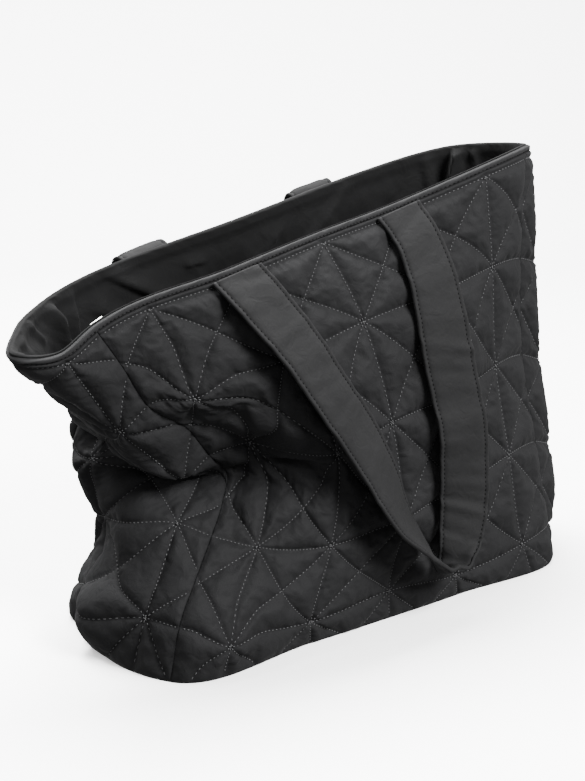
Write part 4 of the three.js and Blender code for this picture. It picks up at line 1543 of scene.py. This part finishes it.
class Zip:
    """The zip along the front of the mouth: its tape and teeth, its slider and its cord puller."""

    def __init__(self, walls: Walls, lining: Lining, binding: BindingSizes, sizes: ZipSizes) -> None:
        """Works out the slider's place and axes.

        Args:
            walls: the walls' surface.
            lining: the lining that the tape is sewn to.
            binding: the rim binding's sizes.
            sizes: the zip's sizes.
        """
        self.walls, self.lining, self.sizes = walls, lining, sizes
        cloth = walls.cloth
        at, zero = np.array([sizes.slider_along]), np.zeros(1)
        inset = lining.depth(at, zero) + cloth.clearance
        self.out = Vector(walls.outward(at, zero)[0])
        reach = cloth.square / 10
        self.along = Vector((walls.place(at + reach, zero) - walls.place(at - reach, zero))[0]).normalized()
        self.up = self.out.cross(self.along).normalized()
        middle = walls.under(at, zero, inset + sizes.slider_wall / 2)[0]
        self.middle = Vector(middle) + self.up * (binding.height / 2 - sizes.sag) + self.along * sizes.slid

    def build(self) -> list[bpy.types.Object]:
        """Returns the zip's pieces, placed and dressed."""
        pieces = [(self._tape(), "zip_tape", "zip_cloth"), (self._slider(), "zip_slider", "steel"),
                  (self._puller(), "zip_puller", "zip_cloth")]
        for piece, node, slot in pieces:
            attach(piece, BODY)
            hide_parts(node)
        rivet = self._rivet()
        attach(rivet, BODY)
        return [piece for piece, _, _ in pieces] + [rivet]

    def _on_lining(self, around: np.ndarray, down: np.ndarray, gap: float) -> np.ndarray:
        """Returns places on the lining's inner face, or further in.

        Args:
            around: cloth lengths round.
            down: cloth lengths down.
            gap: how much further in.
        """
        return self.walls.under(around, down, self.lining.depth(around, down) + gap)

    def _tape(self) -> bpy.types.Object:
        """Returns the tape with its row of teeth."""
        sizes, gap = self.sizes, self.walls.cloth.clearance
        around = np.linspace(sizes.first, sizes.last, 190)
        down = sizes.drop + sizes.width * np.linspace(0, 1, 6)
        v, u = np.meshgrid(down, around, indexing="ij")
        shape = (len(down), len(around), 3)
        near = self._on_lining(u.ravel(), v.ravel(), gap).reshape(shape)
        far = self._on_lining(u.ravel(), v.ravel(), gap + sizes.wall).reshape(shape)
        rings = np.concatenate([near, far[::-1]]).transpose(1, 0, 2)
        points = [rings.reshape(-1, 3)]
        faces = ring_faces(len(around), 2 * len(down))
        faces += [tuple(range(2 * len(down) - 1, -1, -1)),
                  tuple((len(around) - 1) * 2 * len(down) + k for k in range(2 * len(down)))]
        first = len(points[0])
        for at in np.arange(sizes.first, sizes.last, sizes.tooth_pitch):
            corners = []
            for depth in (gap + sizes.wall * 0.6, gap + sizes.wall + sizes.tooth / 2):
                for low in (-sizes.tooth, sizes.tooth):
                    for side in (-0.3, 0.3):
                        spot = self._on_lining(np.array([at + side * sizes.tooth]),
                                               np.array([sizes.drop + low]), depth)
                        corners.append(spot[0])
            points.append(np.array(corners))
            box = ((0, 1, 3, 2), (4, 6, 7, 5), (0, 4, 5, 1), (2, 3, 7, 6), (0, 2, 6, 4), (1, 5, 7, 3))
            faces += [tuple(first + n for n in side) for side in box]
            first += 8
        return mesh_piece("zip_tape_teeth", np.concatenate(points), faces, ZIP_CLOTH)

    @staticmethod
    def _rounded(mesh: bmesh.types.BMesh, middle: Vector, size: tuple[float, float, float],
                 bevel: float) -> None:
        """Adds a box with rounded edges, in the zip's own axes.

        Args:
            mesh: what it is added to.
            middle: its middle, as lengths along, up and out from the slider's middle.
            size: its length, height and depth.
            bevel: the rounding's radius.
        """
        made = bmesh.ops.create_cube(mesh, size=1.0)["verts"]
        for vertex in made:
            vertex.co = Vector([part * length for part, length in zip(vertex.co, size)]) + middle
        edges = {edge for vertex in made for edge in vertex.link_edges}
        bmesh.ops.bevel(mesh, geom=list(edges), offset=bevel, segments=3, affect="EDGES", profile=0.5)

    def _from_bmesh(self, name: str, mesh: bmesh.types.BMesh, finish: Finish) -> bpy.types.Object:
        """Returns a bmesh as a piece, turned from the zip's own axes to its place.

        Args:
            name: the piece's name.
            mesh: its shape.
            finish: what it is made of.
        """
        frame_of = Matrix((self.along, self.up, self.out)).transposed().to_4x4()
        mesh.transform(Matrix.Translation(self.middle) @ frame_of)
        points = np.array([vertex.co[:] for vertex in mesh.verts])
        mesh.verts.index_update()
        faces = [tuple(vertex.index for vertex in face.verts) for face in mesh.faces]
        mesh.free()
        return mesh_piece(name, points, faces, finish)

    def _slider(self) -> bpy.types.Object:
        """Returns the slider: two cheeks, a post between them and a bridge for the puller."""
        sizes, mesh = self.sizes, bmesh.new()
        long, high, deep = sizes.slider_length, sizes.slider_height, sizes.slider_wall
        for aside, out, shares, bevel in (
            (0.0, -0.35, (1.0, 1.0, 0.28), 0.0005), (0.0, 0.2, (1.0, 0.9, 0.28), 0.0005),
            (0.2, -0.05, (0.3, 0.5, 0.5), 0.0003), (-0.1, 0.44, (0.55, 0.28, 0.2), 0.0003),
        ):
            size = (long * shares[0], high * shares[1], deep * shares[2])
            self._rounded(mesh, Vector((long * aside, 0, deep * out)), size, bevel)
        return self._from_bmesh("zip_slider_body", mesh, STEEL)

    def _puller(self) -> bpy.types.Object:
        """Returns the puller: a loop of cord laid flat beside the slider."""
        sizes, mesh = self.sizes, bmesh.new()
        half_long = sizes.puller_length / 2 - sizes.puller_width / 2
        radius = sizes.puller_width / 2 - sizes.cord
        start = -sizes.slider_length / 2 - 3 * self.walls.cloth.clearance - sizes.puller_length / 2
        count, sides = sizes.cord_steps, sizes.cord_sides
        path = []
        for k in range(count):
            turn = 2 * math.pi * k / count
            side = half_long if math.cos(turn) > 0 else -half_long
            path.append(Vector((start + side + radius * math.cos(turn), radius * math.sin(turn), 0.0)))
        rings = []
        for k, point in enumerate(path):
            ahead = (path[(k + 1) % count] - path[k - 1]).normalized()
            across, over = ahead.cross(Vector((0, 0, 1))), Vector((0, 0, 1))
            turns = [2 * math.pi * n / sides for n in range(sides)]
            rings.append([mesh.verts.new(point + (across * math.cos(t) + over * math.sin(t)) * sizes.cord)
                          for t in turns])
        for k in range(count):
            here, there = rings[k], rings[(k + 1) % count]
            for n in range(sides):
                m = (n + 1) % sides
                mesh.faces.new((here[n], here[m], there[m], there[n]))
        bmesh.ops.recalc_face_normals(mesh, faces=mesh.faces[:])
        return self._from_bmesh("zip_puller_cord", mesh, ZIP_CLOTH)

    def _rivet(self) -> bpy.types.Object:
        """Returns the small metal crimp on the puller's cord."""
        sizes, mesh = self.sizes, bmesh.new()
        place = Vector((-sizes.slider_length / 2 - sizes.crimp_along, 0, 0))
        size = (sizes.crimp_length, sizes.puller_width * 0.9, sizes.crimp_wall)
        self._rounded(mesh, place, size, sizes.crimp_bevel)
        return self._from_bmesh("zip_puller_crimp", mesh, STEEL)


# Studio

@dataclass(frozen=True)
class Lamp:
    """A soft area light: where it stands, where it points, its size and its power."""

    name: str
    place: tuple[float, float, float]
    aim: tuple[float, float, float]
    size: tuple[float, float]
    power: float


@dataclass(frozen=True)
class Studio:
    """The camera at the photograph's angle, the pale sweep under and behind the bag, and the lights."""

    azimuth: float = -37.5
    elevation: float = 16.0
    distance: float = 1.290
    target: tuple[float, float, float] = (-0.0265, 0.0, 0.176)
    focal_pixels: float = 1600.0
    image_height: int = 781
    sensor: float = 36.0
    sweep_depth: float = 2.2
    sweep_height: float = 2.6
    sweep_width: float = 8.0
    sweep_radius: float = 0.9
    sweep_front: float = 3.5
    sweep_steps: int = 24
    world: float = 1.0
    glow: float = 0.5
    lamps: tuple[Lamp, ...] = (
        Lamp("top", (0.25, 0.75, 2.3), (0, 0, 0.15), (1.6, 1.2), 400.0),
        Lamp("key", (0.35, -1.85, 1.75), (0, 0, 0.2), (0.9, 0.9), 270.0),
        Lamp("backdrop", (-0.7, 0.9, 2.2), (-1.2, 1.6, 0.5), (2.0, 1.0), 240.0),
    )

    def build(self) -> None:
        """Makes the camera, the sweep, the world and the lights."""
        self._camera()
        self._sweep()
        self._world()
        for lamp in self.lamps:
            self._lamp(lamp)

    def _camera(self) -> None:
        """Makes the camera and sets it as the scene's."""
        turn, rise = math.radians(self.azimuth), math.radians(self.elevation)
        back = Vector((math.sin(turn) * math.cos(rise), -math.cos(turn) * math.cos(rise), math.sin(rise)))
        data = bpy.data.cameras.new("camera")
        data.sensor_width = self.sensor
        data.lens = self.focal_pixels * self.sensor / self.image_height
        camera = bpy.data.objects.new("camera", data)
        camera.location = Vector(self.target) + back * self.distance
        camera.rotation_euler = back.to_track_quat("Z", "Y").to_euler()
        bpy.context.scene.collection.objects.link(camera)
        bpy.context.scene.camera = camera

    def _sweep(self) -> None:
        """Makes the floor, which rises in a wide curve behind the bag."""
        turn, data = math.radians(self.azimuth), bpy.data.materials.new("pale_sweep")
        data.use_nodes = True
        shader = data.node_tree.nodes["Principled BSDF"]
        shader.inputs["Base Color"].default_value = (0.9, 0.9, 0.9, 1)
        shader.inputs["Roughness"].default_value = 0.8
        shader.inputs["Emission Color"].default_value = (1, 1, 1, 1)
        shader.inputs["Emission Strength"].default_value = self.glow
        back = Vector((-math.sin(turn), math.cos(turn), 0))
        right = Vector((math.cos(turn), math.sin(turn), 0))
        run = [(-self.sweep_front, 0.0), (self.sweep_depth - self.sweep_radius, 0.0)]
        for k in range(1, self.sweep_steps + 1):
            angle = math.pi / 2 * k / self.sweep_steps
            run.append((self.sweep_depth - self.sweep_radius * (1 - math.sin(angle)),
                        self.sweep_radius * (1 - math.cos(angle))))
        run.append((self.sweep_depth, self.sweep_height))
        points = []
        for out, high in run:
            for side in (-1, 1):
                points.append((back * out + right * side * self.sweep_width / 2 + Vector((0, 0, high)))[:])
        faces = [(2 * k, 2 * k + 1, 2 * k + 3, 2 * k + 2) for k in range(len(run) - 1)]
        mesh = bpy.data.meshes.new("floor")
        mesh.from_pydata(points, [], faces)
        mesh.polygons.foreach_set("use_smooth", [True] * len(faces))
        mesh.materials.append(data)
        floor = bpy.data.objects.new("floor", mesh)
        floor.visible_diffuse = False
        floor.visible_glossy = False
        bpy.context.scene.collection.objects.link(floor)

    def _world(self) -> None:
        """Makes the even pale light from all round."""
        world = bpy.data.worlds.new("studio")
        world.use_nodes = True
        shade = world.node_tree.nodes["Background"]
        shade.inputs["Color"].default_value = (1, 1, 1, 1)
        shade.inputs["Strength"].default_value = self.world
        bpy.context.scene.world = world

    @staticmethod
    def _lamp(lamp: Lamp) -> None:
        """Makes one area light.

        Args:
            lamp: the light.
        """
        data = bpy.data.lights.new(lamp.name, "AREA")
        data.shape = "RECTANGLE"
        data.size, data.size_y = lamp.size
        data.energy = lamp.power
        light = bpy.data.objects.new(lamp.name, data)
        light.location = lamp.place
        light.rotation_euler = (Vector(lamp.place) - Vector(lamp.aim)).to_track_quat("Z", "Y").to_euler()
        bpy.context.scene.collection.objects.link(light)


def main() -> None:
    """Builds the studio and the bag's pieces in order."""
    logging.basicConfig(level=logging.INFO, format="%(name)s %(message)s")
    Studio().build()
    thread = Stitching()
    for side in Side:
        QuiltedPanel(side, WALLS, Puffing(), thread).build()
    Base(WALLS, BaseSizes()).build()
    binding = RimBinding(WALLS, BindingSizes(), thread)
    binding.build()
    lining = Lining(WALLS, binding, LiningSizes(), thread)
    lining.build()
    for handle in Handle:
        Strap(handle, CLOTH, StrapSizes(), thread).build()
    Zip(WALLS, lining, BindingSizes(), ZipSizes()).build()


if __name__ == "__main__":
    main()
